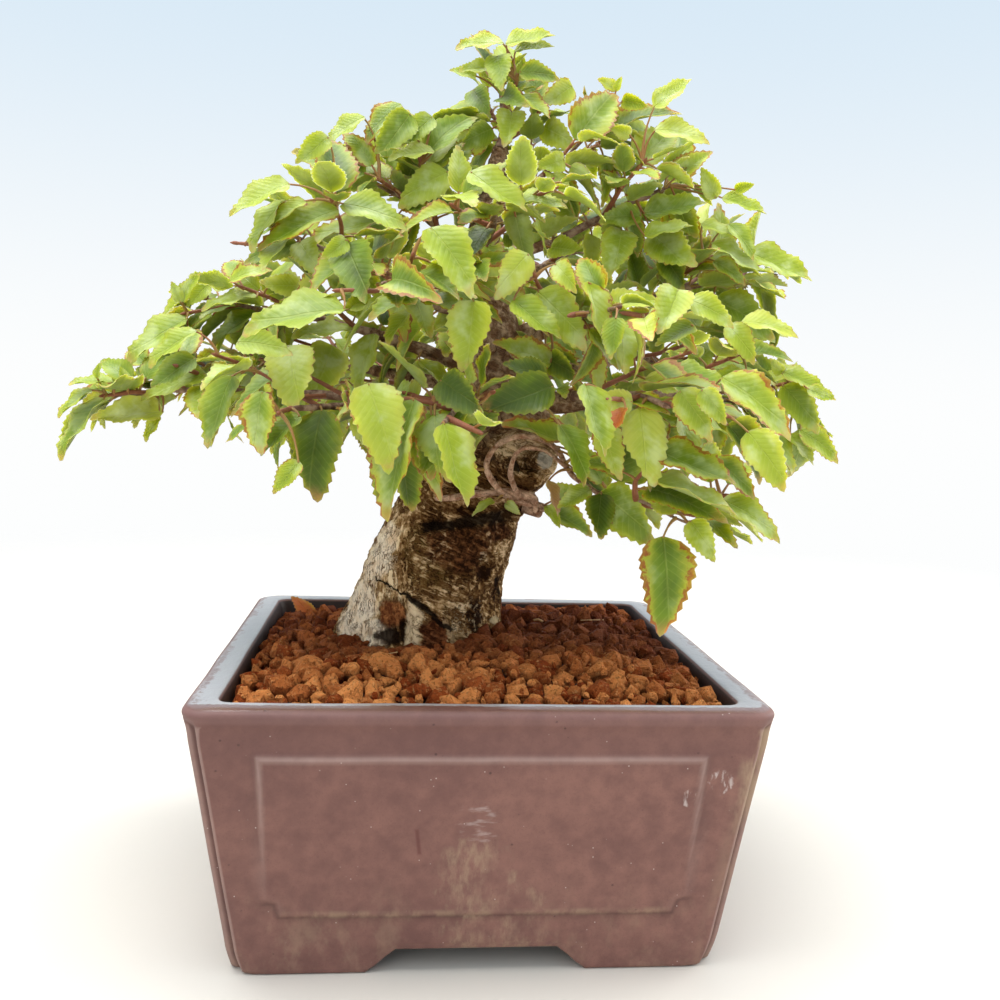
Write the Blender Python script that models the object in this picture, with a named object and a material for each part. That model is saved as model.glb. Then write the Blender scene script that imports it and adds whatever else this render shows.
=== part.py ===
"""A Korean hornbeam bonsai: a short thick trunk in full leaf, in clay-grain soil in a square footed pot.

Metres, +Z up. The origin is on the table under the middle of the pot, -Y is the side that faces the viewer.
"""

import math
import random

import bmesh
import bpy
import numpy as np
from mathutils import Vector
from mathutils.bvhtree import BVHTree

MM = 0.001
UP = Vector((0, 0, 1))
GAP = 0.3 * MM

# The pot
POT_WIDTH = 152.6 * MM
POT_HEIGHT = 74.4 * MM
FOOT_WIDTH = 131 * MM
RIM_WIDTH = 8.7 * MM
RIM_LIP = 4.5 * MM
RIM_CORNER = 7 * MM
WALL = 8 * MM
FLOOR_UNDERSIDE = 6.5 * MM
FLOOR_TOP = 12.5 * MM
CORNER_STEP = 2.8 * MM
EDGE_SOFTENING = 1.1 * MM
FOOT_ARCH_TOP = 44 * MM
FOOT_ARCH_BOTTOM = 58 * MM
DRAIN_RADIUS = 12 * MM
PANEL_WIDTH = 115 * MM
PANEL_STEP = 6 * MM
PANEL_STEP_HEIGHT = 4.6 * MM
PANEL_BOTTOM = 17.7 * MM
PANEL_TOP = 62.2 * MM
PANEL_RELIEF = 0.9 * MM

# The soil and the drain mesh under it
SOIL_EDGE_DROP = 5.5 * MM
SOIL_MOUND = 8.5 * MM
SOIL_CELLS = 19
GRAIN_RELIEF = 1.7 * MM
MESH_SIDE = 34 * MM
MESH_THICKNESS = 1.2 * MM
MESH_HOLES = 3

# The trunk: x, y, z and radius in millimetres, from the stump in the soil to the top
TRUNK = [
    (-15, 15, 42, 18),
    (-15, 15, 60, 23),
    (-14.5, 15, 72, 24.5),
    (-12.5, 14, 84, 22.8),
    (-9.5, 13, 97, 21.8),
    (-5, 12, 110, 20.2),
    (-1, 11, 121, 18.6),
    (5, 10, 132, 18),
    (9, 10, 142, 16.5),
    (9, 11, 152, 13),
    (6.5, 11, 168, 9.5),
    (3.5, 10, 184, 7.4),
    (0.5, 9, 197, 6),
    (3.5, 8, 217, 4),
    (6, 8, 232, 2.6),
]
TRUNK_SIDES = 16
# Surface roots: direction in degrees, width in degrees and how far each stands out, in millimetres
ROOTS = [(180, 26, 7), (238, 17, 5), (283, 15, 5.5), (335, 24, 6), (40, 28, 6), (112, 26, 6)]
ROOT_LEVEL = 68 * MM
ROOT_FADE = 13 * MM

# Main branches: where each leaves the trunk, its tip, its radius at the trunk and its arch, in millimetres
BRANCHES = {
    "left_low": (146, (-109, -4, 150), 3.6, 4),
    "left_front_low": (141, (-66, -62, 143), 3.4, 8),
    "left_mid": (160, (-89, 18, 182), 3.2, 4),
    "left_back": (152, (-88, 54, 160), 3.2, 6),
    "left_upper": (174, (-60, -31, 198), 2.7, 3),
    "left_top": (194, (-31, 4, 217), 2.2, 2),
    "top_right": (202, (30, -4, 233), 2.1, 2),
    "right_upper": (190, (61, 6, 223), 2.4, 3),
    "right_mid": (170, (98, 12, 197), 3.0, 4),
    "right_low": (148, (111, -4, 150), 3.6, 6),
    "right_back": (156, (90, 50, 168), 3.2, 5),
    "right_front": (144, (46, -82, 150), 3.3, 8),
    "front_low": (139, (-15, -86, 145), 3.2, 10),
    "front_right": (163, (29, -74, 176), 2.8, 5),
    "front_left": (166, (-31, -71, 180), 2.8, 5),
    "front_top": (186, (2, -46, 207), 2.3, 3),
    "back_low_left": (149, (-50, 80, 150), 3.2, 7),
    "back_low_right": (147, (50, 80, 148), 3.2, 7),
    "back_mid": (168, (2, 80, 176), 2.8, 5),
    "back_upper_left": (184, (-42, 48, 205), 2.4, 3),
    "back_upper_right": (186, (42, 46, 207), 2.4, 3),
}
# Two branches with a route of their own: x, y, z and radius in millimetres
LOW_SHOOT = [
    (17, 2, 120, 2.6),
    (21, -10, 119.5, 2.2),
    (9, -14, 123.5, 1.7),
    (2.5, -17, 132, 1.5),
    (6, -19, 139.5, 1.5),
    (14, -20.5, 142, 1.4),
    (22.5, -21, 139, 1.4),
    (27.6, -24, 131, 1.3),
    (33, -36, 127, 1.3),
    (43, -50, 126, 1.2),
    (54, -64, 121, 0.9),
]
LEADER = [(6.05, 8, 232.3, 2.2), (6.8, 8, 237, 2), (6.3, 8.2, 243, 1.5), (5.3, 8, 249, 0.9)]
LOOP_TWIG = [
    (13, -13, 123, 1.5),
    (9.5, -20, 131, 1.3),
    (12, -22, 138, 1.2),
    (19, -24, 138, 1.1),
    (26, -24, 133, 1.1),
]

BRANCH_CUT = 6
SHOOT_CUT = 24
TIP_RADIUS = 0.8 * MM
BENDS = 5
SPAN_STEPS = 3
STOUT_LIMB = 2.5 * MM
BEND_SIZE = 3.2 * MM
CANOPY_CENTRE = Vector((0, 5 * MM, 160 * MM))
GOLDEN_ANGLE = math.radians(137.5)
TWIG_SPACING = 9.5 * MM
FULL_LIMB = 45 * MM
TWIG_LENGTH = (30 * MM, 15 * MM)
TWIG_RADIUS = (0.9 * MM, 0.7 * MM)
LEAF_SPACING = 5.6 * MM
LEAF_SINK = 1.2 * MM
TWIG_ANGLE = (42, 66)
TWIG_RISE = (-22, 40)
LEAF_ANGLE = (35, 75)
LEAF_DROOP = (0.05, 0.45)
LOW_DROOP = 0.65
DROOP_TOP = 200 * MM
DROOP_SPAN = 70 * MM
LEAF_LENGTH = (15.5 * MM, 25 * MM)
LEAF_ARCH = 0.32
STALK = 4.5 * MM
STALK_HALF_WIDTH = 0.45 * MM
LEAF_THICKNESS = 0.7 * MM
LEAVES_PER_SPRAY = 8
TWIGS_PER_SPRAY = 3
TWIG_STRIDE = 3
SEED = 41

# Half a leaf's toothed edge, as shares of the blade's length and of its half width
LEAF_EDGE = [(0.24, 1.0), (0.44, 0.78), (0.56, 0.84)]
LEAF_HALF_WIDTH = 0.29


def material(name, colour, roughness, metallic=0.0):
    """A plain finish in the part's own colour."""
    made = bpy.data.materials.new(name)
    made.use_nodes = True
    shader = made.node_tree.nodes["Principled BSDF"]
    shader.inputs["Base Color"].default_value = (*colour, 1)
    shader.inputs["Roughness"].default_value = roughness
    shader.inputs["Metallic"].default_value = metallic
    return made


def add_object(name, mesh, collection, finish=None):
    made = bpy.data.objects.new(name, mesh)
    collection.objects.link(made)
    if finish:
        mesh.materials.clear()
        mesh.materials.append(finish)
    return made


def as_cutter(obj):
    obj.hide_render = True
    obj.display_type = "WIRE"
    return obj


def boolean(target, operation, other):
    modifier = target.modifiers.new(operation.title(), "BOOLEAN")
    modifier.operation = operation
    modifier.solver = "EXACT"
    modifier.object = other


def evaluated_mesh(obj):
    """A copy of the object's mesh with its modifiers applied."""
    graph = bpy.context.evaluated_depsgraph_get()
    graph.update()
    return bpy.data.meshes.new_from_object(obj.evaluated_get(graph))


def curve_mesh(curve):
    """The curve's surface with its caps welded on."""
    holder = add_object("curve", curve, bpy.context.scene.collection)
    mesh = evaluated_mesh(holder)
    bpy.data.objects.remove(holder)
    work = bmesh.new()
    work.from_mesh(mesh)
    bmesh.ops.remove_doubles(work, verts=work.verts, dist=0.001 * MM)
    work.to_mesh(mesh)
    work.free()
    return mesh


def loft(rings):
    """A closed mesh through rings of equal count, with a flat cap at each end."""
    work = bmesh.new()
    rows = [[work.verts.new(point) for point in ring] for ring in rings]
    count = len(rows[0])
    for low, high in zip(rows, rows[1:]):
        for i in range(count):
            j = (i + 1) % count
            work.faces.new((low[i], low[j], high[j], high[i]))
    work.faces.new(reversed(rows[0]))
    work.faces.new(rows[-1])
    bmesh.ops.recalc_face_normals(work, faces=work.faces)
    mesh = bpy.data.meshes.new("loft")
    work.to_mesh(mesh)
    work.free()
    return mesh


def boxes(spots, size):
    """One mesh of equal boxes centred on the given points."""
    work = bmesh.new()
    for spot in spots:
        cube = bmesh.ops.create_cube(work, size=1)
        bmesh.ops.scale(work, verts=cube["verts"], vec=size)
        bmesh.ops.translate(work, verts=cube["verts"], vec=spot)
    mesh = bpy.data.meshes.new("boxes")
    work.to_mesh(mesh)
    work.free()
    return mesh


def cylinder(radius, depth):
    work = bmesh.new()
    bmesh.ops.create_cone(work, cap_ends=True, segments=24, radius1=radius, radius2=radius, depth=depth)
    mesh = bpy.data.meshes.new("cylinder")
    work.to_mesh(mesh)
    work.free()
    return mesh


def flat_outline(points, thickness):
    """A plate: a 2D curve through the points, filled and extruded, lying in XY about its middle plane."""
    curve = bpy.data.curves.new("outline", "CURVE")
    curve.dimensions = "2D"
    curve.fill_mode = "BOTH"
    curve.extrude = thickness / 2
    spline = curve.splines.new("POLY")
    spline.points.add(len(points) - 1)
    for spot, (x, y) in zip(spline.points, points):
        spot.co = (x, y, 0, 1)
    spline.use_cyclic_u = True
    return curve_mesh(curve)


# The pot


def wall_half(z):
    """Half the pot's width at height z, on its sloping wall."""
    top = POT_WIDTH / 2 - 1 * MM
    return FOOT_WIDTH / 2 + (top - FOOT_WIDTH / 2) * z / (POT_HEIGHT - RIM_LIP)


def square_ring(half, z, corner, step=0.0):
    """A square with round corners, which step changes into corners cut back in a right-angled notch."""
    quarter = []
    notched = [
        (half - CORNER_STEP - EDGE_SOFTENING, -half),
        (half - CORNER_STEP, -half + EDGE_SOFTENING),
        (half - CORNER_STEP, -half + CORNER_STEP),
        (half - EDGE_SOFTENING, -half + CORNER_STEP),
        (half, -half + CORNER_STEP + EDGE_SOFTENING),
    ]
    for i, (x, y) in enumerate(notched):
        angle = math.radians(-90 + 22.5 * i)
        round_x = half - corner + corner * math.cos(angle)
        round_y = -half + corner + corner * math.sin(angle)
        quarter.append((round_x + (x - round_x) * step, round_y + (y - round_y) * step))
    ring = []
    for turn in range(4):
        c, s = round(math.cos(turn * math.pi / 2)), round(math.sin(turn * math.pi / 2))
        ring += [(c * x - s * y, s * x + c * y, z) for x, y in quarter]
    return ring


def pot_outside():
    """The wall from the ground up to the rounded lip."""
    lip_bottom = POT_HEIGHT - RIM_LIP
    return loft(
        [
            square_ring(FOOT_WIDTH / 2 - EDGE_SOFTENING, 0, RIM_CORNER, 1),
            square_ring(wall_half(EDGE_SOFTENING), EDGE_SOFTENING, RIM_CORNER, 1),
            square_ring(wall_half(lip_bottom - 2.5 * MM), lip_bottom - 2.5 * MM, RIM_CORNER, 1),
            square_ring(wall_half(lip_bottom), lip_bottom, RIM_CORNER, 0.5),
            square_ring(POT_WIDTH / 2, lip_bottom + 1.5 * MM, RIM_CORNER),
            square_ring(POT_WIDTH / 2, POT_HEIGHT - 1 * MM, RIM_CORNER),
            square_ring(POT_WIDTH / 2 - 1 * MM, POT_HEIGHT, RIM_CORNER),
        ]
    )


def cavity(inset=0.0, top=POT_HEIGHT + 1 * MM):
    """The pot's inside, or the same shape drawn in by inset for what fills it."""
    floor_half = wall_half(FLOOR_TOP) - WALL
    mouth_half = POT_WIDTH / 2 - RIM_WIDTH
    slope = (mouth_half - floor_half) / (POT_HEIGHT - FLOOR_TOP)
    floor = FLOOR_TOP + inset
    return loft(
        [
            square_ring(floor_half + slope * inset - inset, floor, 4 * MM),
            square_ring(floor_half + slope * (top - FLOOR_TOP) - inset, top, 4 * MM),
        ]
    )


def foot_arch():
    """The opening between two feet, as a long bar with sloping sides."""
    wide, narrow, low = FOOT_ARCH_BOTTOM / 2, FOOT_ARCH_TOP / 2, -2 * MM
    outline = [(-wide, low), (wide, low), (wide, 0), (narrow, FLOOR_UNDERSIDE)]
    outline += [(-narrow, FLOOR_UNDERSIDE), (-wide, 0)]
    return flat_outline(outline, POT_WIDTH + 20 * MM)


def panel():
    """The raised panel of one side, with its two lower corners stepped in, drawn upright in XY."""
    half, low, high = PANEL_WIDTH / 2, PANEL_BOTTOM, PANEL_TOP
    inner, shelf = half - PANEL_STEP, PANEL_BOTTOM + PANEL_STEP_HEIGHT
    narrow = half - 1.5 * MM
    outline = [(-inner, low), (inner, low), (inner + 1 * MM, shelf - 1 * MM), (narrow, shelf), (half, high)]
    outline += [(-half, high), (-narrow, shelf), (-inner - 1 * MM, shelf - 1 * MM)]
    return flat_outline(outline, WALL / 2)


def build_pot(parts, cutters, finish):
    pot = add_object("pot", pot_outside(), parts, finish)
    hollow = as_cutter(add_object("cut_cavity", cavity(), cutters))
    boolean(pot, "DIFFERENCE", hollow)
    for name, turn in (("cut_arch_front", 0), ("cut_arch_side", 90)):
        arch = as_cutter(add_object(name, foot_arch(), cutters))
        arch.rotation_euler = (math.radians(90), 0, math.radians(turn))
        boolean(pot, "DIFFERENCE", arch)
    drain = as_cutter(add_object("cut_drain", cylinder(DRAIN_RADIUS, 40 * MM), cutters))
    boolean(pot, "DIFFERENCE", drain)
    lean = math.atan2(wall_half(PANEL_TOP) - wall_half(PANEL_BOTTOM), PANEL_TOP - PANEL_BOTTOM)
    for turn in range(4):
        side = as_cutter(add_object(f"join_panel_{turn}", panel(), cutters))
        side.rotation_euler = (math.radians(90) + lean, 0, math.radians(90 * turn))
        out = wall_half(0) + PANEL_RELIEF / math.cos(lean) - WALL / 4 / math.cos(lean)
        angle = math.radians(90 * turn)
        side.location = (math.sin(angle) * out, -math.cos(angle) * out, 0)
        boolean(pot, "UNION", side)
    return pot


def build_drain_mesh(parts, cutters, finish):
    """The plastic mesh that keeps the soil off the drain hole, lying on the pot's floor."""
    level = FLOOR_TOP + GAP + MESH_THICKNESS / 2
    plate = boxes([(0, 0, level)], (MESH_SIDE, MESH_SIDE, MESH_THICKNESS))
    sheet = add_object("drain_mesh", plate, parts, finish)
    pitch = MESH_SIDE / (MESH_HOLES + 0.6)
    steps = [(k - (MESH_HOLES - 1) / 2) * pitch for k in range(MESH_HOLES)]
    spots = [(x, y, level) for x in steps for y in steps]
    holes = as_cutter(add_object("cut_mesh_holes", boxes(spots, (pitch * 0.6,) * 3), cutters))
    boolean(sheet, "DIFFERENCE", holes)


# The soil


def soil_height(x, y):
    """The mound's smooth height: a little below the rim at the walls and above it round the trunk."""
    edge = max(abs(x), abs(y)) / (POT_WIDTH / 2 - RIM_WIDTH)
    return POT_HEIGHT - SOIL_EDGE_DROP + SOIL_MOUND * (1 - min(edge, 1) ** 2)


def soil_block():
    """A block whose top is broken into lumps by moving each point of a grid sideways and up or down."""
    rng = random.Random(SEED)
    half = POT_WIDTH / 2 - RIM_WIDTH + 2 * MM
    step = 2 * half / SOIL_CELLS
    work = bmesh.new()
    grid = []
    for i in range(SOIL_CELLS + 1):
        row = []
        for j in range(SOIL_CELLS + 1):
            inside = 0 < i < SOIL_CELLS and 0 < j < SOIL_CELLS
            x = -half + i * step + rng.uniform(-0.25, 0.25) * step * inside
            y = -half + j * step + rng.uniform(-0.25, 0.25) * step * inside
            lump = GRAIN_RELIEF * (rng.uniform(-1, 0.2) if (i + j) % 2 else rng.uniform(0.2, 1))
            row.append(work.verts.new((x, y, soil_height(x, y) + lump)))
        grid.append(row)
    for i in range(SOIL_CELLS):
        for j in range(SOIL_CELLS):
            corners = (grid[i][j], grid[i + 1][j], grid[i + 1][j + 1], grid[i][j + 1])
            work.faces.new(corners[:3])
            work.faces.new((corners[0], corners[2], corners[3]))
    rim = [edge for edge in work.edges if edge.is_boundary]
    skirt = bmesh.ops.extrude_edge_only(work, edges=rim)["geom"]
    lower = [item for item in skirt if isinstance(item, bmesh.types.BMVert)]
    for vert in lower:
        vert.co.z = FLOOR_TOP - 2 * MM
    bmesh.ops.contextual_create(work, geom=[e for e in work.edges if e.is_boundary])
    bmesh.ops.recalc_face_normals(work, faces=work.faces)
    mesh = bpy.data.meshes.new("soil")
    work.to_mesh(mesh)
    work.free()
    return mesh


def build_soil(parts, cutters, finish):
    soil = add_object("soil", soil_block(), parts, finish)
    limit = as_cutter(add_object("limit_soil", cavity(GAP, POT_HEIGHT + 30 * MM), cutters))
    boolean(soil, "INTERSECT", limit)
    hole = as_cutter(add_object("cut_trunk_hole", trunk_mesh(grow=2 * GAP), cutters))
    boolean(soil, "DIFFERENCE", hole)
    size = (MESH_SIDE + 2 * GAP, MESH_SIDE + 2 * GAP, 2 * (MESH_THICKNESS + 2 * GAP))
    recess = as_cutter(add_object("cut_mesh_recess", boxes([(0, 0, FLOOR_TOP)], size), cutters))
    boolean(soil, "DIFFERENCE", recess)
    return soil


# The tree's lines: every path is a list of rows x, y, z, radius in metres


def smooth(points, per_span):
    """Rows on the Catmull-Rom curve through the given rows, radius included."""
    rows = np.array([points[0], *points, points[-1]], float)
    rows[0] = 2 * rows[1] - rows[2]
    rows[-1] = 2 * rows[-2] - rows[-3]
    made = []
    for a, b, c, d in zip(rows, rows[1:], rows[2:], rows[3:]):
        for t in np.arange(per_span) / per_span:
            bend = 2 * a - 5 * b + 4 * c - d
            made.append((2 * b + (c - a) * t + bend * t * t + (3 * b - a - 3 * c + d) * t**3) / 2)
    return np.array([*made, rows[-2]])


def point_at(path, share):
    """The row at this share of the path's length, and the direction there."""
    steps = np.linalg.norm(np.diff(path[:, :3], axis=0), axis=1)
    along = np.concatenate([[0], np.cumsum(steps)])
    where = share * along[-1]
    i = int(min(np.searchsorted(along, where, side="right"), len(path) - 1)) - 1
    t = (where - along[i]) / steps[i]
    return path[i] + (path[i + 1] - path[i]) * t, Vector(path[i + 1, :3] - path[i, :3]).normalized()


def path_length(path):
    return float(np.linalg.norm(np.diff(path[:, :3], axis=0), axis=1).sum())


def cut_in_two(path, cut):
    """The bare inner limb and the outer limb of a spray, with a gap in the straight step after row cut."""
    before, after = path[cut], path[cut + 1]
    middle = (before + after) / 2
    half_gap = (after - before) * [1, 1, 1, 0] * GAP / 2 / np.linalg.norm((after - before)[:3])
    inner = np.array([*path[: cut + 1 : SPAN_STEPS], middle - half_gap])
    outer = np.array([middle + half_gap, after, *path[cut + SPAN_STEPS :: SPAN_STEPS]])
    return inner, outer


def branch_path(height, tip, radius, arch, rng):
    """A branch from the trunk's middle to its tip, arched, with the small bends of a pruned twig."""
    trunk = np.array(TRUNK, float) * MM
    start = np.array([np.interp(height * MM, trunk[:, 2], trunk[:, k]) for k in range(3)])
    chord = np.array(tip) * MM - start
    side = np.array(Vector(chord).cross(UP).normalized())
    rows = []
    for i in range(BENDS + 1):
        share = i / BENDS
        hump = 4 * share * (1 - share)
        sway = rng.uniform(-1, 1) * BEND_SIZE * min(1, hump)
        rise = arch * MM * hump + rng.uniform(-0.5, 0.5) * BEND_SIZE * min(1, hump)
        width = radius * MM + (TIP_RADIUS - radius * MM) * share**0.6
        rows.append([*(start + chord * share + side * sway + np.array((0, 0, rise))), width])
    return smooth(rows, SPAN_STEPS)


def sideways(along, turn):
    """Where shoot number turn leaves a twig: left and right by turns, or in a spiral on an upright twig."""
    if along.cross(UP).length > 0.5:
        return along.cross(UP).normalized() * (1 if turn % 2 else -1)
    spot = Vector((math.cos(turn * GOLDEN_ANGLE), math.sin(turn * GOLDEN_ANGLE), 0))
    return (spot - along * spot.dot(along)).normalized()


def side_twigs(path, rng):
    """Twigs that leave a branch to the left and right in turn, shorter towards its tip."""
    length = path_length(path)
    count = max(3, int(length / TWIG_SPACING))
    vigour = min(1, 0.4 + 0.6 * length / FULL_LIMB)
    twigs = []
    for i in range(count):
        share = 0.07 + 0.9 * i / count
        row, along = point_at(path, share)
        side = sideways(along, i)
        lift = side.cross(along).normalized() * (1 if i % 2 else -1)
        spread = math.radians(rng.uniform(*TWIG_ANGLE))
        rise = math.radians(rng.uniform(*TWIG_RISE))
        aim = along * math.cos(spread) + (side * math.cos(rise) + lift * math.sin(rise)) * math.sin(spread)
        far = TWIG_LENGTH[0] + (TWIG_LENGTH[1] - TWIG_LENGTH[0]) * share
        far *= rng.uniform(0.75, 1.15) * vigour
        middle = Vector(row[:3]) + aim * far * 0.5
        end = middle + (aim + along * 0.45 + UP * rng.uniform(-0.25, 0.3)).normalized() * far * 0.5
        thick, thin = TWIG_RADIUS
        twigs.append(np.array([[*row[:3], thick], [*middle, (thick + thin) / 2], [*end, thin]]))
    return twigs


def leaf_at(row, along, side, rng):
    """A leaf on its twig: where it starts, which way it points, its upper side, its length and its fold."""
    start = Vector(row[:3])
    outward = (start - CANOPY_CENTRE).normalized()
    low = min(1, max(0, (DROOP_TOP - start.z) / DROOP_SPAN))
    spread = math.radians(rng.uniform(*LEAF_ANGLE))
    droop = rng.uniform(*LEAF_DROOP) + LOW_DROOP * low * rng.random()
    reach = along * math.cos(spread) + side * math.sin(spread) + outward * 0.5 - UP * droop
    tilt = Vector((rng.uniform(-0.35, 0.35), rng.uniform(-0.35, 0.35), 0))
    face = UP + outward * 0.55 + tilt
    length = rng.uniform(*LEAF_LENGTH) * (0.86 + 0.2 * low)
    aim = reach.normalized()
    return start, aim, (face - aim * face.dot(aim)).normalized(), length, rng.uniform(0.05, 0.45)


def twig_leaves(path, start, rng):
    """Leaves to the left and right in turn along a twig, and one on its tip."""
    length = path_length(path)
    end = 1 - LEAF_SINK / length
    count = max(2, int(length * (end - start) / LEAF_SPACING))
    leaves = []
    for i in range(count + 1):
        row, along = point_at(path, start + (end - start) * i / count)
        leaves.append(leaf_at(row, along, sideways(along, i) * (0.25 if i == count else 1), rng))
    return leaves


def grow_sprays():
    """Each branch's inner limb and outer limb, its side twigs, and its leaves with their twig's number."""
    sprays = {}
    for index, name in enumerate([*BRANCHES, "low_shoot", "leader"]):
        rng = random.Random(SEED * 100 + index)
        if name == "low_shoot":
            inner, outer = cut_in_two(smooth(np.array(LOW_SHOOT, float) * MM, SPAN_STEPS), SHOOT_CUT)
        elif name == "leader":
            inner, outer = None, np.array(LEADER, float) * MM
        else:
            inner, outer = cut_in_two(branch_path(*BRANCHES[name], rng), BRANCH_CUT)
        twigs = side_twigs(outer, rng)
        leaves = [(0, leaf) for leaf in twig_leaves(outer, 0.35, rng)]
        for k, twig in enumerate(twigs):
            leaves += [(k + 1, leaf) for leaf in twig_leaves(twig, 0.3, rng)]
        sprays[name] = (inner, outer, twigs, leaves)
    return sprays


# The wood


def trunk_mesh(grow=0.0):
    """The trunk as rings that follow its line, pushed out near the soil into surface roots."""
    path = np.array(TRUNK, float) * MM
    rings = []
    for i, (x, y, z, radius) in enumerate(path):
        ahead = Vector(path[min(i + 1, len(path) - 1), :3] - path[max(i - 1, 0), :3]).normalized()
        right = Vector((1, 0, 0)) - ahead * ahead.x
        right.normalize()
        back = ahead.cross(right)
        swell = math.exp(-max(0, z - ROOT_LEVEL) / ROOT_FADE)
        ring = []
        for k in range(TRUNK_SIDES):
            angle = 2 * math.pi * k / TRUNK_SIDES
            out = radius + grow + swell * root_push(math.degrees(angle))
            ring.append(Vector((x, y, z)) + right * math.cos(angle) * out + back * math.sin(angle) * out)
        rings.append(ring)
    return loft(rings)


def root_push(degrees):
    push = 0
    for direction, width, height in ROOTS:
        off = (degrees - direction + 180) % 360 - 180
        push += height * MM * math.exp(-((off / width) ** 2))
    return push


def knot_mesh():
    """The healed stub of a sawn branch, with a hollow in its end."""
    middle, aim = Vector((13, 4, 134)) * MM, Vector((0.25, -0.96, 0.05)).normalized()
    right = aim.cross(UP).normalized()
    rings = []
    for out, radius in ((0, 11), (11, 10.5), (14.5, 9), (15, 6.5), (11, 3)):
        angles = [2 * math.pi * k / 10 for k in range(10)]
        spots = [right * math.cos(a) + right.cross(aim) * math.sin(a) for a in angles]
        rings.append([middle + aim * out * MM + spot * radius * MM for spot in spots])
    return loft(rings)


def tube(path, sides=4):
    """A tapering twig: a bevelled curve through the path, with its caps welded on."""
    curve = bpy.data.curves.new("tube", "CURVE")
    curve.dimensions = "3D"
    curve.bevel_depth = MM
    curve.bevel_resolution = (sides - 4) // 2
    curve.use_fill_caps = True
    spline = curve.splines.new("POLY")
    spline.points.add(len(path) - 1)
    for spot, (x, y, z, radius) in zip(spline.points, path):
        spot.co = (x, y, z, 1)
        spot.radius = radius / MM
    return curve_mesh(curve)


def join(name, first, others, parts, finish):
    """One body out of meshes that overlap, by a single Boolean union on a collection of them."""
    gathered = bpy.data.collections.new("join_" + name)
    bpy.context.scene.collection.children.link(gathered)
    for mesh in others:
        add_object("joined", mesh, gathered)
    base = add_object("base", first, bpy.context.scene.collection)
    modifier = base.modifiers.new("Union", "BOOLEAN")
    modifier.operation = "UNION"
    modifier.solver = "MANIFOLD"
    modifier.operand_type = "COLLECTION"
    modifier.collection = gathered
    made = add_object(name, evaluated_mesh(base), parts, finish)
    for spare in (*gathered.objects, base):
        bpy.data.objects.remove(spare)
    bpy.data.collections.remove(gathered)
    return made


def build_wood(parts, sprays, finish):
    """The trunk, the healed knot and the bare inner share of every branch, which grew as one piece."""
    inner_limbs = [inner for inner, _, _, _ in sprays.values() if inner is not None]
    limbs = [tube(path, 6 if path[0, 3] > STOUT_LIMB else 4) for path in inner_limbs]
    limbs += [knot_mesh(), tube(np.array(LOOP_TWIG, float) * MM)]
    return join("trunk", trunk_mesh(), limbs, parts, finish)


# The sprays


def leaf_surface(leaf, with_stalk=True, grow=1.0):
    """Points and triangles of a toothed blade, folded along its rib and arched, with its narrow stalk."""
    start, aim, face, length, fold = leaf
    across = face.cross(aim)
    half = LEAF_HALF_WIDTH * length * grow
    side = [(0, STALK_HALF_WIDTH), (STALK, STALK_HALF_WIDTH)]
    side += [(STALK + x * length, y * half) for x, y in LEAF_EDGE]
    tip, middle = (STALK + length * grow, 0), (STALK + 0.46 * length, 0)
    spots = [*side, tip, *((x, -y) for x, y in reversed(side)), middle]
    points = []
    for x, y in spots:
        share = (x - STALK) / length
        rise = fold * abs(y) - LEAF_ARCH * length * max(0, share) ** 2
        points.append(start + aim * x + across * y + face * rise)
    last = len(spots) - 1
    triangles = [(0, last - 1, 1), (1, last - 1, last - 2)] if with_stalk else []
    triangles += [(1, last - 2, last)]
    triangles += [(i, last, i + 1) for i in range(1, last - 2)]
    return points, triangles


def leaf_mesh(leaf, thickness=LEAF_THICKNESS, **options):
    points, triangles = leaf_surface(leaf, **options)
    mesh = bpy.data.meshes.new("leaf")
    mesh.from_pydata(points, [], triangles)
    work = bmesh.new()
    work.from_mesh(mesh)
    loose = [vert for vert in work.verts if not vert.link_faces]
    bmesh.ops.delete(work, geom=loose, context="VERTS")
    bmesh.ops.translate(work, verts=work.verts, vec=leaf[2] * thickness / 2)
    bmesh.ops.solidify(work, geom=work.faces[:], thickness=thickness)
    bmesh.ops.recalc_face_normals(work, faces=work.faces)
    work.to_mesh(mesh)
    work.free()
    return mesh


class Occupied:
    """Search trees of what is in place, so that a new leaf or twig can be tested against them."""

    def __init__(self):
        self.items = []

    def shape(self, mesh):
        points = np.array([vert.co for vert in mesh.vertices])
        tree = BVHTree.FromPolygons([tuple(p) for p in points], [tuple(f.vertices) for f in mesh.polygons])
        return points.min(0), points.max(0), tree

    def add(self, owner, mesh):
        self.items.append((owner, *self.shape(mesh)))

    def is_free(self, mesh, apart_from=None):
        low, high, tree = self.shape(mesh)
        for owner, other_low, other_high, other in self.items:
            if owner == apart_from or (low > other_high).any() or (high < other_low).any():
                continue
            if tree.overlap(other):
                return False
        return True


def thickened(path):
    grown = path.copy()
    grown[:, 3] += 2 * GAP
    return grown


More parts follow.
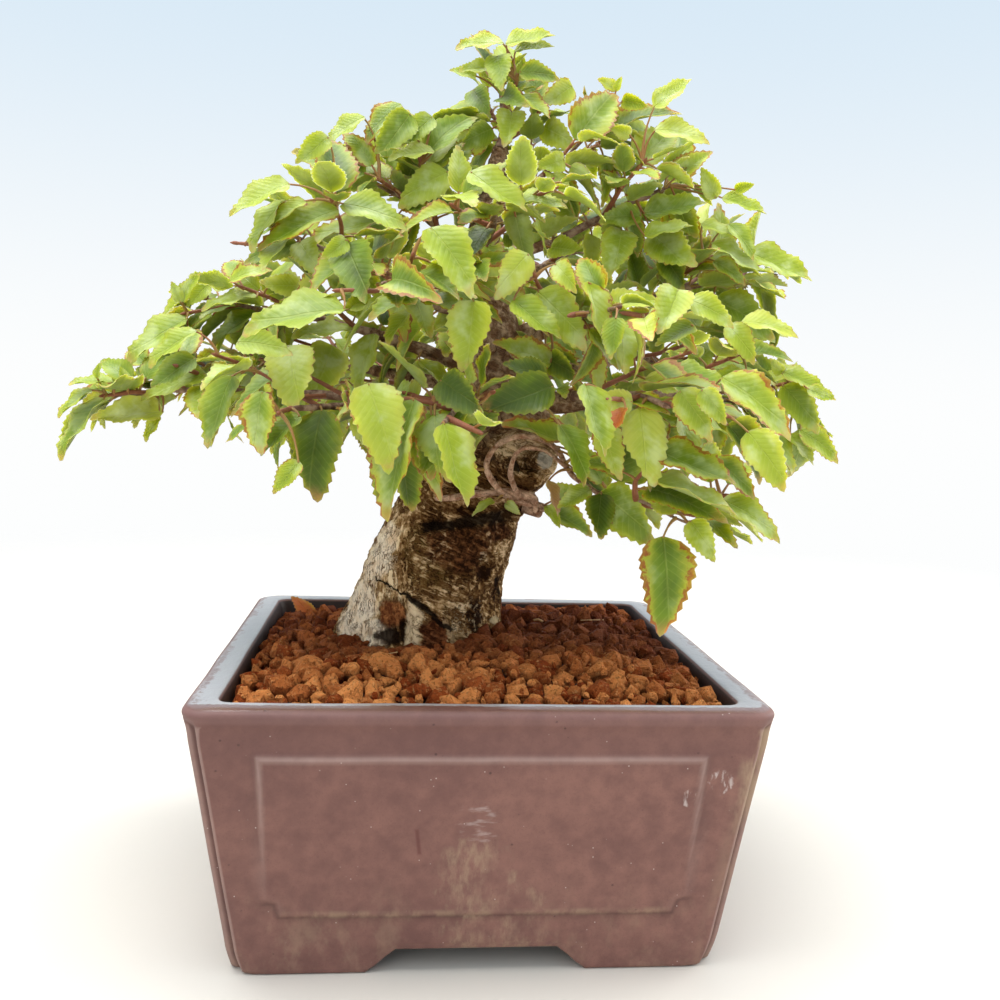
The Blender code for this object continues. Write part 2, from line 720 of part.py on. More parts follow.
def build_sprays(parts, sprays, solids, finish):
    """A node for each spray: its twigs and as many of its leaves as stand clear of everything else."""
    taken = Occupied()
    for solid in solids:
        taken.add(solid.name, evaluated_mesh(solid))
    for name, (_, outer, _, _) in sprays.items():
        taken.add(name, tube(thickened(outer)))
    chosen = {}
    for name, (_, _, twigs, _) in sprays.items():
        chosen[name] = {}
        order = sorted(range(len(twigs)), key=lambda k: (k * TWIG_STRIDE) % len(twigs))
        for k in order:
            shape = tube(thickened(twigs[k]))
            if len(chosen[name]) < TWIGS_PER_SPRAY and taken.is_free(shape, apart_from=name):
                taken.add(name, shape)
                chosen[name][k + 1] = twigs[k]
    for name, (_, outer, _, leaves) in sprays.items():
        able = [(k, leaf) for k, leaf in leaves if k == 0 or k in chosen[name]]
        able.sort(key=lambda pair: -(pair[1][0] + pair[1][1] * pair[1][3] - CANOPY_CENTRE).length)
        kept, bearing = [], set()
        for k, leaf in able:
            if len(kept) == LEAVES_PER_SPRAY:
                break
            blade = leaf_mesh(leaf, LEAF_THICKNESS + 2 * GAP, with_stalk=False, grow=1.03)
            whole = leaf_mesh(leaf, LEAF_THICKNESS + 2 * GAP, grow=1.03)
            if taken.is_free(blade) and taken.is_free(whole, apart_from=name):
                taken.add(name, whole)
                kept.append(leaf_mesh(leaf))
                bearing.add(k)
        twigs = [tube(path) for k, path in chosen[name].items() if k in bearing]
        join("spray_" + name, tube(outer), twigs + kept, parts, finish)


def main():
    for obj in list(bpy.data.objects):
        bpy.data.objects.remove(obj)
    parts = bpy.data.collections.new("korean_hornbeam_bonsai")
    cutters = bpy.data.collections.new("cutters")
    for collection in (parts, cutters):
        bpy.context.scene.collection.children.link(collection)
    bark = material("bark", (0.30, 0.24, 0.18), 0.9)
    leaf = material("leaf", (0.30, 0.42, 0.07), 0.5)
    clay = material("pot_clay", (0.25, 0.14, 0.13), 0.6)
    soil = material("soil_grains", (0.42, 0.19, 0.08), 0.95)
    mesh = material("mesh_plastic", (0.03, 0.03, 0.03), 0.5)
    pot = build_pot(parts, cutters, clay)
    build_drain_mesh(parts, cutters, mesh)
    bed = build_soil(parts, cutters, soil)
    sprays = grow_sprays()
    wood = build_wood(parts, sprays, bark)
    build_sprays(parts, sprays, (pot, bed, wood), leaf)
    wood.data.shade_smooth()
    wood.data.set_sharp_from_angle(angle=math.radians(50))


main()
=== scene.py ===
# %% [markdown]
# # A Korean hornbeam bonsai, dressed from its solids
#
# A small hornbeam, 26 cm high with its square pot: a stout, pale trunk and about twenty branches in full leaf
# over a bed of baked-clay grains. The part's solids give every place and size. This script lays finer pieces
# over them, and each step gives its reason first and then its code.

# %% Load the frame
import math
import random
from functools import reduce

import bmesh
import bpy
import numpy as np
from mathutils import Matrix, Vector, noise
from mathutils.bvhtree import BVHTree


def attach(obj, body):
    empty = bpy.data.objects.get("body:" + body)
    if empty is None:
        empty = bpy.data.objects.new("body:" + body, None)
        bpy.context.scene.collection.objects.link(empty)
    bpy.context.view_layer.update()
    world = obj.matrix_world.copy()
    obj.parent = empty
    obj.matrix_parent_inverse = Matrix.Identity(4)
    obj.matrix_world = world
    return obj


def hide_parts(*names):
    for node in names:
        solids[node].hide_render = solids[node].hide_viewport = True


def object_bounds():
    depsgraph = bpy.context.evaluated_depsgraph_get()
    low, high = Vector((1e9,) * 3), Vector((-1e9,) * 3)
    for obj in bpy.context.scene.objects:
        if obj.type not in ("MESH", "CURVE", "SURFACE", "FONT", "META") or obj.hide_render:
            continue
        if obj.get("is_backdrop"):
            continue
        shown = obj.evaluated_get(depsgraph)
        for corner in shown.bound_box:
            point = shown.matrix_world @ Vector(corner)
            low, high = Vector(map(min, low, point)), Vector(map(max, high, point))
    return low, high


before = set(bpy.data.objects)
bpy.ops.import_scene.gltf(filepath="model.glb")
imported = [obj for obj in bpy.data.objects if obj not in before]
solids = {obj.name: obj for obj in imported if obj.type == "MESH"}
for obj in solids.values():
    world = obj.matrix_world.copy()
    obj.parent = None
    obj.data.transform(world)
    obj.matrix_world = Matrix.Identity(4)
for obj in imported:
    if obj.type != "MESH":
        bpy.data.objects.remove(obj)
solid_box = [list(corner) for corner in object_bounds()]
scene = bpy.context.scene
MM = 0.001
UP = Vector((0, 0, 1))
NOISE_SEED, GRAIN_SEED, LEAF_SEED, CROWN_SEED, GAP_SEED, TWIG_SEED = 41, 700, 900, 5000, 31, 77
# Without a seed, noise vectors would start from the clock and differ in each run.
noise.seed_set(NOISE_SEED)


def new_object(name, data):
    made = bpy.data.objects.new(name, data)
    scene.collection.objects.link(made)
    return made


print(f"{len(solids)} solids in a box from {solid_box[0]} to {solid_box[1]}")

# %% [markdown]
# ## The camera
#
# The photograph was taken from a little above the rim, 33 cm in front of the pot's middle. Three small turns
# give the view: yaw, pitch and roll. A camera looks along its own -Z, so the columns of its matrix are the
# picture's right, its up and the reverse of the view.

# %% Place the camera
YAW, PITCH, ROLL = -0.0978, 0.0947, 0.0337
CAMERA_PLACE = (-0.0236, -0.3283, 0.1520)
SENSOR, FOCAL_SHARE = 36, 1.0342
right = Vector((math.cos(YAW), math.sin(YAW), 0))
ahead = Vector((-math.sin(YAW), math.cos(YAW), 0))
view = ahead * math.cos(PITCH) - UP * math.sin(PITCH)
lift = ahead * math.sin(PITCH) + UP * math.cos(PITCH)
picture_x = right * math.cos(ROLL) + lift * math.sin(ROLL)
picture_y = lift * math.cos(ROLL) - right * math.sin(ROLL)
camera = new_object("camera", bpy.data.cameras.new("camera"))
camera.matrix_world = Matrix((picture_x, picture_y, -view)).transposed().to_4x4()
camera.matrix_world.translation = Vector(CAMERA_PLACE)
camera.data.sensor_width = SENSOR
camera.data.lens = SENSOR * FOCAL_SHARE
camera.data.clip_start = 0.01
scene.camera = camera
scene.view_settings.view_transform = "Standard"
print(f"camera lens {camera.data.lens:.1f} mm, {Vector(CAMERA_PLACE).length * 1000:.0f} mm from the pot's foot")

# %% [markdown]
# ## A short way to write nodes
#
# A formula written with nodes by hand takes many lines. `Flow` wraps a socket, so that `1 - mask * 0.5` adds
# the Math nodes that work it out. `Maker` adds a node of any type: its settings come first, because they
# decide which sockets it shows, and then those sockets' values or links.


# %% Flow and Maker
def adds(operation, reflected=False):
    """A method that adds a Math node, with its values the other way round if reflected."""
    if reflected:
        return lambda flow, other: flow.math(operation, other, flow)
    return lambda flow, *others: flow.math(operation, flow, *others)


class Flow:
    """What runs along a link. Python's operators on it add the Math nodes that work them out."""

    def __init__(self, maker, socket):
        self.maker, self.socket = maker, socket

    def math(self, operation, *values):
        return self.maker.flow("ShaderNodeMath", {"operation": operation}, dict(enumerate(values)))

    __add__ = __radd__ = adds("ADD")
    __mul__ = __rmul__ = adds("MULTIPLY")
    __sub__, __rsub__ = adds("SUBTRACT"), adds("SUBTRACT", True)
    __truediv__, __rtruediv__ = adds("DIVIDE"), adds("DIVIDE", True)
    __pow__, __abs__ = adds("POWER"), adds("ABSOLUTE")
    least, most, fraction = adds("MINIMUM"), adds("MAXIMUM"), adds("FRACT")

    def ramp(self, low, high, start=0.0, end=1.0):
        """start below low and end above high, with a soft step between."""
        values = {"Value": self, "From Min": low, "From Max": high, "To Min": start, "To Max": end}
        return self.maker.flow("ShaderNodeMapRange", {"interpolation_type": "SMOOTHSTEP"}, values)


class Maker:
    """Builds one node tree."""

    def __init__(self, tree):
        self.tree = tree

    def node(self, kind, settings=None, sockets=None):
        made = self.tree.nodes.new(kind)
        for name, value in (settings or {}).items():
            setattr(made, name, value)
        for name, value in (sockets or {}).items():
            self.feed(self.find(made.inputs, name), value)
        return made

    def find(self, sockets, name):
        if isinstance(name, int):
            return sockets[name]
        return next(socket for socket in sockets if socket.enabled and socket.name == name)

    def feed(self, socket, value):
        if isinstance(value, Flow):
            self.tree.links.new(value.socket, socket)
        else:
            socket.default_value = value

    def flow(self, kind, settings=None, sockets=None, output=None):
        made = self.node(kind, settings, sockets)
        shown = [socket for socket in made.outputs if socket.enabled]
        return Flow(self, self.find(shown, output) if output else shown[0])

    def report(self, name):
        print(f"{name}: {len(self.tree.nodes)} nodes")

    def vector(self, operation, *values):
        return self.flow("ShaderNodeVectorMath", {"operation": operation}, dict(enumerate(values)))

    def scaled(self, vector, factor):
        return self.flow("ShaderNodeVectorMath", {"operation": "SCALE"}, {0: vector, "Scale": factor})


print("a Flow takes + - * / ** and abs, with a number on either side")

# %% [markdown]
# ## A palette for finishes
#
# `Paint` is a `Maker` with what every finish starts from: the place on the object, noise and spots, all in
# millimetres, and a bump whose height is in millimetres too. `lay` puts one more colour over those before it.
# Colours are written as a screen shows them, from 0 to 255, and `tone` turns them into light values.


# %% Paint
def tone(red, green, blue):
    """The shader's colour for a screen colour."""
    parts = [value / 255 for value in (red, green, blue)]
    light = [v / 12.92 if v < 0.04045 else ((v + 0.055) / 1.055) ** 2.4 for v in parts]
    return (*light, 1.0)


class Paint(Maker):
    """A material whose shader takes constants at once and what varies later."""

    def __init__(self, name, **constants):
        self.material = bpy.data.materials.new(name)
        self.material.use_nodes = True
        super().__init__(self.material.node_tree)
        self.shader = self.tree.nodes["Principled BSDF"]
        for socket, value in constants.items():
            self.shader.inputs[socket.replace("_", " ")].default_value = value
        self.colour = None
        self.mm = self.scaled(self.flow("ShaderNodeTexCoord", output="Object"), 1 / MM)
        apart = self.node("ShaderNodeSeparateXYZ", None, {0: self.mm})
        self.x, self.y, self.z = (Flow(self, socket) for socket in apart.outputs)

    def moved(self, stretch, shift, place=None):
        """The place, stretched, and shifted so that two patterns differ."""
        return self.vector("MULTIPLY_ADD", place or self.mm, stretch, (shift, shift * 1.7, shift * 2.3))

    def grain(self, size, detail=3.0, roughness=0.55, stretch=(1, 1, 1), shift=0.0):
        """Noise from 0 to 1 with features about size millimetres wide."""
        sockets = {"Vector": self.moved(stretch, shift), "Scale": 1 / size, "Detail": detail}
        return self.flow("ShaderNodeTexNoise", None, sockets | {"Roughness": roughness})

    def cells(self, size, shift):
        """How far the nearest of many scattered points is, in sizes."""
        sockets = {"Vector": self.moved((1, 1, 1), shift), "Scale": 1 / size}
        return self.flow("ShaderNodeTexVoronoi", None, sockets, "Distance")

    def near(self, place, radius, ragged=0.0, size=3.0):
        """1 within radius of a point, in millimetres, with a ragged edge."""
        away = self.vector("DISTANCE", self.mm, place)
        if ragged:
            away = away + (self.grain(size) - 0.5) * ragged * 2
        return away.ramp(radius * 0.75, radius, 1, 0)

    def mix(self, factor, first, second):
        """Two colours mixed, each of them a link or a screen colour."""
        first, second = (tone(*colour) if isinstance(colour, tuple) else colour for colour in (first, second))
        return self.flow("ShaderNodeMix", {"data_type": "RGBA"}, {"Factor": factor, "A": first, "B": second})

    def lay(self, mask, colour):
        """Lays a colour over those before it, where the mask is 1."""
        self.colour = self.mix(mask, self.colour, colour)

    def stored(self, name):
        """A number that was kept on the mesh."""
        return self.flow("ShaderNodeAttribute", {"attribute_name": name}, output="Fac")

    def done(self, **varying):
        """Feeds the shader with the colour and what else varies. Height goes through a bump."""
        varying = {"Base_Color": self.colour, **varying}
        if "Height" in varying:
            sockets = {"Height": varying.pop("Height"), "Distance": MM, "Strength": 1.0}
            varying["Normal"] = self.flow("ShaderNodeBump", None, sockets)
        for name, value in varying.items():
            self.feed(self.shader.inputs[name.replace("_", " ")], value)
        self.report(self.material.name)
        return self.material


print("the clay's brown in light values:", [round(value, 3) for value in tone(111, 75, 68)[:3]])

# %% [markdown]
# ## The stage
#
# The photograph stands on a pale, brightly lit ground that runs into a white and faintly blue distance. A
# wide disc does for the ground. Its edge fades out by Alpha, so that no horizon shows, and the world goes
# from white at eye level to pale blue higher up.

# %% Ground and world
GROUND_RADIUS = 1.3


def build_ground():
    work = bmesh.new()
    bmesh.ops.create_circle(work, cap_ends=True, segments=96, radius=GROUND_RADIUS)
    bmesh.ops.translate(work, verts=work.verts, vec=(0, 0, -0.05 * MM))
    mesh = bpy.data.meshes.new("ground")
    work.to_mesh(mesh)
    work.free()
    return new_object("ground", mesh)


paint = Paint("pale_ground", Roughness=0.7)
paint.colour = paint.mix(paint.grain(160, 2), (212, 204, 193), (217, 210, 200))
away = (paint.x * paint.x + paint.y * paint.y) ** 0.5
ground = build_ground()
ground.data.materials.append(paint.done(Alpha=away.ramp(330, 900, 1, 0)))
ground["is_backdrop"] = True

world = bpy.data.worlds.new("studio")
scene.world = world
world.use_nodes = True
sky = Maker(world.node_tree)
height = sky.flow("ShaderNodeSeparateXYZ", None, {0: sky.flow("ShaderNodeTexCoord", output="Generated")}, "Z")
sky_mix = {"Factor": height.ramp(-0.02, 0.42), "A": tone(253, 254, 254), "B": tone(214, 232, 246)}
backdrop = sky.flow("ShaderNodeMix", {"data_type": "RGBA"}, sky_mix)
sky.feed(world.node_tree.nodes["Background"].inputs["Color"], backdrop)
print(f"ground {GROUND_RADIUS * 2:.1f} m across")

# %% [markdown]
# ## Soft light
#
# The light is broad and comes from above, a little stronger from the right and the back, and so bright that
# the ground is nearly white. Three large area lamps give that.


# %% Area lamps
LIT_PLACE = Vector((0, 0, 0.1))


def softbox(name, place, size, watts, colour):
    lamp = bpy.data.lights.new(name, "AREA")
    lamp.shape, lamp.size, lamp.energy, lamp.color = "SQUARE", size, watts, colour
    made = new_object(name, lamp)
    made.location = place
    made.rotation_euler = (LIT_PLACE - Vector(place)).to_track_quat("-Z", "Y").to_euler()
    made.visible_camera = False


softbox("lamp_above", (-0.2, 0.0, 1.25), 1.1, 23, (1, 0.99, 0.97))
softbox("lamp_front", (-0.6, -1.1, 0.85), 0.9, 3.5, (1, 0.97, 0.94))
softbox("lamp_right", (1.1, 0.3, 0.6), 0.9, 10, (1, 0.98, 0.95))
print("3 lamps")

# %% [markdown]
# ## The pot's wall, ring by ring
#
# The pot was pressed in a mould: a square that widens upwards, with notched corners, a rounded lip, a shallow
# raised panel on each side and four feet between low arches. Booleans would leave knife edges, and fired clay
# has none, so the skin is one closed loft. Its rings run from the drain hole out under the floor, up the
# outside, over the lip, down the inside and back to the hole. Every ring has the same points, and the panels
# are a soft step in how far they stand out.

# %% Sizes of the pot
POT_WIDTH = 152.6
POT_HEIGHT = 74.4
FOOT_WIDTH = 131.0
RIM_WIDTH = 8.7
RIM_CORNER = 7.0
MOUTH_CORNER = 4.0
WALL = 8.0
WALL_TOP_IN, WALL_TOP_DOWN = 1.0, 4.5
LEVEL_FROM = 9
FLOOR_UNDERSIDE = 6.5
FLOOR_TOP = 12.5
CORNER_STEP = 2.8
EDGE_SOFTENING = 1.1
DRAIN_RADIUS = 12.0
ARCH_WIDE, ARCH_NARROW = 29.0, 22.0
PANEL_RELIEF = 0.9
FOOT_ROUNDING = 9.0
PANEL_SOFT = 1.3
PANEL = [(-51.5, 17.7), (51.5, 17.7), (52.5, 21.3), (56, 22.3), (57.5, 62.2), (-57.5, 62.2), (-56, 22.3)]
PANEL += [(-52.5, 21.3)]
MOUTH_HALF = POT_WIDTH / 2 - RIM_WIDTH


def wall_half(z):
    """Half the width of the sloping wall at a height."""
    top = POT_WIDTH / 2 - WALL_TOP_IN
    return FOOT_WIDTH / 2 + (top - FOOT_WIDTH / 2) * z / (POT_HEIGHT - WALL_TOP_DOWN)


def arc(centre_x, centre_y, radius, start, end, steps):
    turns = np.radians(np.linspace(start, end, steps))
    return np.column_stack([centre_x + radius * np.cos(turns), centre_y + radius * np.sin(turns)])


side_half = [*np.linspace(0, 0.66, 16), *np.linspace(0.675, 0.85, 16), 0.9, 0.96, 1.0]
SIDE_STOPS = np.array([*(-s for s in reversed(side_half[1:])), *side_half])


def outline(half, corner, notch):
    """A square ring with round corners, which notch turns into cut back ones."""
    c, soft, tight = half - CORNER_STEP, EDGE_SOFTENING, 0.8
    inner = -half + CORNER_STEP
    cut = [arc(c - soft, -half + soft, soft, -90, 0, 5), arc(c + tight, inner - tight, tight, 180, 90, 5)]
    cut += [arc(half - soft, inner + soft, soft, -90, 0, 5)]
    turned = arc(half - corner, -half + corner, corner, -90, 0, 15)
    bend = (turned + (np.vstack(cut) - turned) * notch)[1:-1]
    straight = half - (corner + (CORNER_STEP + soft - corner) * notch)
    side = np.vstack([np.column_stack([SIDE_STOPS * straight, np.full(len(SIDE_STOPS), -half)]), bend])
    turns = [np.array(((1, 0), (0, 1))), np.array(((0, 1), (-1, 0)))]
    turns += [-turns[0], -turns[1]]
    return np.vstack([side @ turn for turn in turns])


print(f"{len(outline(70, 7, 0))} points in each ring of the pot")


# %% [markdown]
# How far a point lies inside the panel's outline is a signed distance to a polygon. A soft step on it gives a
# raised face whose edge rolls off, as it does where clay came out of a mould. The arches under the pot come
# from a height in the same way.


# %% Panels and arches
def inside(corners, places):
    """Which places lie inside a polygon."""
    corners = np.array(corners, float)
    after = np.roll(corners, -1, axis=0)
    x, y = np.array(places, float)[:, :2].T[:, :, None]
    crosses = (corners[:, 1] > y) != (after[:, 1] > y)
    rise = np.where(after[:, 1] == corners[:, 1], 1, after[:, 1] - corners[:, 1])
    left = x < corners[:, 0] + (y - corners[:, 1]) * (after[:, 0] - corners[:, 0]) / rise
    return (crosses & left).sum(1) % 2 == 1


def inside_panel(u, z):
    """How far inside the panel's outline each point lies, in millimetres, negative outside it."""
    nearest = np.full(u.shape, 1e9)
    for (ax, az), (bx, bz) in zip(PANEL, PANEL[1:] + PANEL[:1]):
        along = np.array((bx - ax, bz - az))
        share = np.clip(((u - ax) * along[0] + (z - az) * along[1]) / (along @ along), 0, 1)
        nearest = np.minimum(nearest, np.hypot(u - ax - share * along[0], z - az - share * along[1]))
    return np.where(inside(PANEL, np.column_stack([u, z])), nearest, -nearest)


def soft_step(value, width):
    share = np.clip(value / width * 0.5 + 0.5, 0, 1)
    return share * share * (3 - 2 * share)


def arch_height(x, y):
    """How high the underside stands: nothing at the feet, more along the two arches."""
    off = np.minimum(np.abs(x), np.abs(y))
    return FLOOR_UNDERSIDE * np.clip((ARCH_WIDE - off) / (ARCH_WIDE - ARCH_NARROW), 0, 1)


def round_foot(ring, half, z):
    """The ring with its corners drawn in where each foot is rounded."""
    corner = np.maximum(0, 1 - (half - np.abs(ring).min(1)) / FOOT_ROUNDING)
    return ring * (1 - (corner * max(0, 1 - z / FOOT_ROUNDING)) ** 2 * 0.035)[:, None]


def outer_ring(z, notch, proud=0.0):
    """A ring outside. Low ones bend up over the arches, and the panels stand out."""
    half = wall_half(z) + proud
    ring = round_foot(outline(half, RIM_CORNER, notch), half, z)
    low = arch_height(ring[:, 0], ring[:, 1])
    height = low + (LEVEL_FROM - low) * z / LEVEL_FROM if z < LEVEL_FROM else np.full(len(ring), float(z))
    across = np.abs(ring).argmin(1)
    lateral = ring[np.arange(len(ring)), across]
    out = PANEL_RELIEF * soft_step(inside_panel(lateral, height), PANEL_SOFT)
    facing = np.zeros(ring.shape)
    facing[np.arange(len(ring)), 1 - across] = np.sign(ring[np.arange(len(ring)), 1 - across])
    return np.column_stack([ring + facing * out[:, None], height])


def at_height(ring, z):
    return np.column_stack([ring, np.full(len(ring), float(z))])


def level_ring(half, corner, z):
    return at_height(outline(half, corner, 0), z)


print(f"the arches are {arch_height(0, 0):.1f} mm high")

# %% Pot rings
# Height, notch and how far out; then half width and height; then half width, corner and height
LIP_UNDERSIDE = [(66.6, 0.98, -0.05), (68.2, 0.92, -0.05), (69.4, 0.78, 0.08), (70.2, 0.5, 0.3), (70.9, 0.22, 0.5)]
LIP = [(76.1, 71.6), (76.28, 72.2), (76.3, 72.7), (76.15, 73.25), (75.75, 73.72), (75.1, 74.08), (74.3, 74.3)]
LIP += [(73.3, 74.4)]
RIM_TOP = [(71.8, 6.2, 74.42), (70.3, 5.4, 74.4), (69.2, 4.8, 74.36), (68.5, 4.4, 74.22), (68, 4.1, 73.9)]
RIM_TOP += [(67.6, 4, 73.2)]


def towards_hole(half, corner, notch, share):
    """A ring between a square and the drain hole's circle."""
    square = round_foot(outline(half, corner, notch), half, 0 if notch else FOOT_ROUNDING)
    turns = np.arctan2(square[:, 1], square[:, 0])
    circle = np.column_stack([np.cos(turns), np.sin(turns)]) * DRAIN_RADIUS
    return circle + (square - circle) * share


def pot_rings():
    rings = []
    for share in np.linspace(0, 1, 26):
        flat = towards_hole(FOOT_WIDTH / 2 - 0.8, RIM_CORNER, 1, share)
        rings.append(np.column_stack([flat, arch_height(flat[:, 0], flat[:, 1])]))
    rings += [outer_ring(0.2, 1, -0.25), outer_ring(0.7, 1)]
    levels = [1.6, 3, 5, 7, 9, 11, 13, 15, 16.2, 16.9, 17.4, 17.9, 18.5, 19.4, 20.2, 20.8, 21.3, 21.8, 22.3, 22.9]
    levels += [24, 27, 31, 36, 42, 48, 54, 58, 60, 61, 61.5, 62, 62.5, 63.1, 64, 65.2]
    rings += [outer_ring(z, 1) for z in levels]
    rings += [outer_ring(*row) for row in LIP_UNDERSIDE]
    rings += [level_ring(half, RIM_CORNER, z) for half, z in LIP]
    rings += [level_ring(*row) for row in RIM_TOP]
    floor_half = wall_half(FLOOR_TOP) - WALL
    slope = (MOUTH_HALF - floor_half) / (POT_HEIGHT - FLOOR_TOP)
    for z in (71, 67, 60, 48, 34, 22, 15.5, 13.2):
        rings.append(level_ring(MOUTH_HALF - slope * (POT_HEIGHT - z), MOUTH_CORNER, z))
    bottom = [(share, FLOOR_TOP) for share in (0.98, 0.9, 0.7, 0.45, 0.2, 0.03)] + [(0, 12), (0, 9.5), (0, 7)]
    return rings + [at_height(towards_hole(floor_half, MOUTH_CORNER, 0, share), z) for share, z in bottom]


print(f"{len(pot_rings())} rings in the pot")

# %% [markdown]
# Each point of a ring joins its neighbours on the next ring, and the pot's last ring joins the first, so the
# skin has no open edge. A little low noise moves the wall by a tenth of a millimetre or two, because a fired
# wall is never quite flat.


# %% Lofts and pieces
def loft(rings, closed=False):
    """Points and faces through rings: joined round to the first, or capped at both ends."""
    count, rows = len(rings[0]), len(rings)
    points = np.vstack(rings)
    i = np.arange(count)
    j = (i + 1) % count
    faces = []
    for row in range(rows if closed else rows - 1):
        low, high = row * count, (row + 1) % rows * count
        faces += np.column_stack([low + i, low + j, high + j, high + i]).tolist()
    if not closed:
        faces += [list(range(count))[::-1], list(range((rows - 1) * count, rows * count))]
    return points, faces


def new_mesh(name, points, edges=(), faces=()):
    mesh = bpy.data.meshes.new(name)
    mesh.from_pydata(points, edges, faces)
    return mesh


def add_piece(name, points, faces, finish):
    """A mesh object from points in millimetres, its normals turned outwards."""
    mesh = new_mesh(name, (np.asarray(points) * MM).tolist(), faces=faces)
    work = bmesh.new()
    work.from_mesh(mesh)
    bmesh.ops.recalc_face_normals(work, faces=work.faces)
    work.to_mesh(mesh)
    work.free()
    mesh.polygons.foreach_set("use_smooth", [True] * len(mesh.polygons))
    mesh.materials.append(finish)
    return new_object(name, mesh)


def store(mesh, name, values, kind="FLOAT", domain="POINT"):
    """Keeps a number or a vector for each point, edge or face of a mesh."""
    made = mesh.attributes.new(name, kind, domain)
    made.data.foreach_set("vector" if kind == "FLOAT_VECTOR" else "value", values)


def declare(piece, slot, *replaced):
    """Hangs the piece under the root, hides the solids whose place it takes and prints its triangles. The slot is not
    used.
    """
    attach(piece, "root")
    if replaced:
        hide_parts(*replaced)
    count = sum(len(face.vertices) - 2 for face in piece.data.polygons)
    print(f"{piece.name}: {count} triangles")


# %% [markdown]
# Handling wears the raised corners pale, and the panel's raised edge gets a painted highlight, strongest along its
# top; the corner notches are darkened, and a painted shadow lies below the panel's lower edge. The loft knows where
# those are: every ring has the same order of points, and the panel has its outline. Two numbers are worked out for
# each point, and the finish reads them as attributes.

# %% Wear and dirt
def pot_wear_and_shade(points):
    """How worn and lit, and how dark, each point is, from 0 to 1: worn corners and a painted highlight on the panel's
    edge, darkened notches and a painted shadow below the panel.
    """
    ring = len(SIDE_STOPS) + 13
    order = np.arange(len(points)) % ring - len(SIDE_STOPS)
    height = points[:, 2]
    off_axis, out = np.abs(points[:, :2]).min(1), np.abs(points[:, :2]).max(1)
    wall = (out > wall_half(height) - 4) & (height < 70) & (height > 0.5)
    convex = ((order >= 0) & (order < 4)) | (order > 8)
    notch = (order > 3) & (order < 9)
    deep = inside_panel(off_axis, height)
    upper = np.clip((height - 20) / 40, 0.15, 1)
    wear = np.where(wall, np.maximum(convex * 0.7, np.exp(-(((deep - 0.6) / 0.7) ** 2)) * upper), 0)
    dark_notch_and_panel_shadow = np.where(wall, np.maximum(notch * 0.8, np.exp(-(((deep + 0.9) / 0.6) ** 2)) * (1.15 - upper)), 0)
    return wear, dark_notch_and_panel_shadow


# %% [markdown]
# ## The clay
#
# Unglazed stoneware: an even brown with some mauve, fired to a dull sheen. The photograph shows tan dust along the
# panel's lower edge, over the arch and down the right corner, fine white specks, a few short scratches, and a rim
# whose top is worn pale and shines, with a painted reflection of the pale sky on it. The inner wall gets painted
# shade, and the left side, away from the light, is painted a little darker. Each of these is a mask from 0 to 1 with
# its colour.

# %% Clay finish
paint = Paint("fired_clay", IOR=1.4, Coat_Roughness=0.2)
wear, recess = paint.stored("wear"), paint.stored("recess")
mottle = paint.grain(30, 4, 0.55) * 0.45 + paint.grain(5, 4, 0.6) * 0.55
paint.colour = paint.mix(mottle.ramp(0.32, 0.68), (111, 75, 68), (137, 96, 85))
paint.lay(paint.z.ramp(54, 66) * 0.35, (98, 66, 62))
# Painted shade: the pot is darkened towards its left side, away from the light
paint.lay(paint.x.ramp(-60, 70, 0.22, 0), (90, 60, 56))
paint.lay(paint.grain(0.5, 2).ramp(0.5, 0.8) * 0.3, (88, 59, 55))
pits = paint.cells(4.5, shift=17).ramp(0.05, 0.1, 1, 0) * paint.grain(14, 2, shift=3).ramp(0.52, 0.6)
paint.lay(pits * 0.6, (66, 42, 40))
# Wear on the corners, and a painted highlight along the panel's raised edge
paint.lay(wear * (0.3 + paint.grain(4, 3, shift=41) * 0.35), (178, 152, 142))
# Darkened corner notches, and a painted shadow below the panel's lower edge
paint.lay(recess * 0.55, (66, 42, 40))
film = paint.grain(11, 5, 0.7, (1, 1, 0.6), 8)
low_film = paint.z.ramp(6, 34, 1, 0) * film.ramp(0.48, 0.72) * 0.26
spread = abs(paint.x).most(abs(paint.y))
line_off = abs(paint.z - 17.9).ramp(0.2, 1.8, 1, 0) * abs(paint.x).least(abs(paint.y)).ramp(48, 53, 1, 0)
panel_line = line_off * paint.grain(9, 4, 0.7, (1, 1, 0.2), 14).ramp(0.42, 0.6) * 0.4
middle = paint.near((-1.5, -69, 29), 12, 8, 5).most(paint.near((6, -67, 12), 17, 9, 5)) * film.ramp(0.36, 0.6)
streaky = paint.grain(2.2, 4, 0.7, (1, 1, 0.35), 3).ramp(0.36, 0.66)
half_here = paint.z * 0.1402 + 65.5
corner_strip = (abs(paint.x).least(abs(paint.y)) - half_here).ramp(-8.5, -4)
corner_strip = corner_strip * paint.x.ramp(0, 1) * paint.y.ramp(-1, 0, 1, 0)
corner_strip = corner_strip * paint.grain(8, 4, 0.6, (1, 1, 0.4), 31).ramp(0.38, 0.56)
corner_strip = corner_strip * paint.z.ramp(36, 58, 0.2, 0.8) * paint.z.ramp(68, 70.5, 1, 0)
dust = (low_film + panel_line).most(middle * streaky * 0.45).most(corner_strip).least(0.75)
paint.lay(dust, (172, 147, 120))
specks = paint.cells(2.7, shift=4).ramp(0.035, 0.09, 1, 0) * paint.grain(9, 2, shift=12).ramp(0.47, 0.6)
paint.lay(specks * 0.65, (206, 190, 182))
rubbed = paint.near((-1, -72, 44), 6.5, 3, 4) * paint.grain(2.4, 3, 0.6, (0.35, 0.35, 1.3), 20).ramp(0.48, 0.74) * 0.4
knocked = paint.near((62, -73.5, 55), 3.6, 2, 2).most(paint.near((53.4, -73, 51), 2.6, 1, 2))
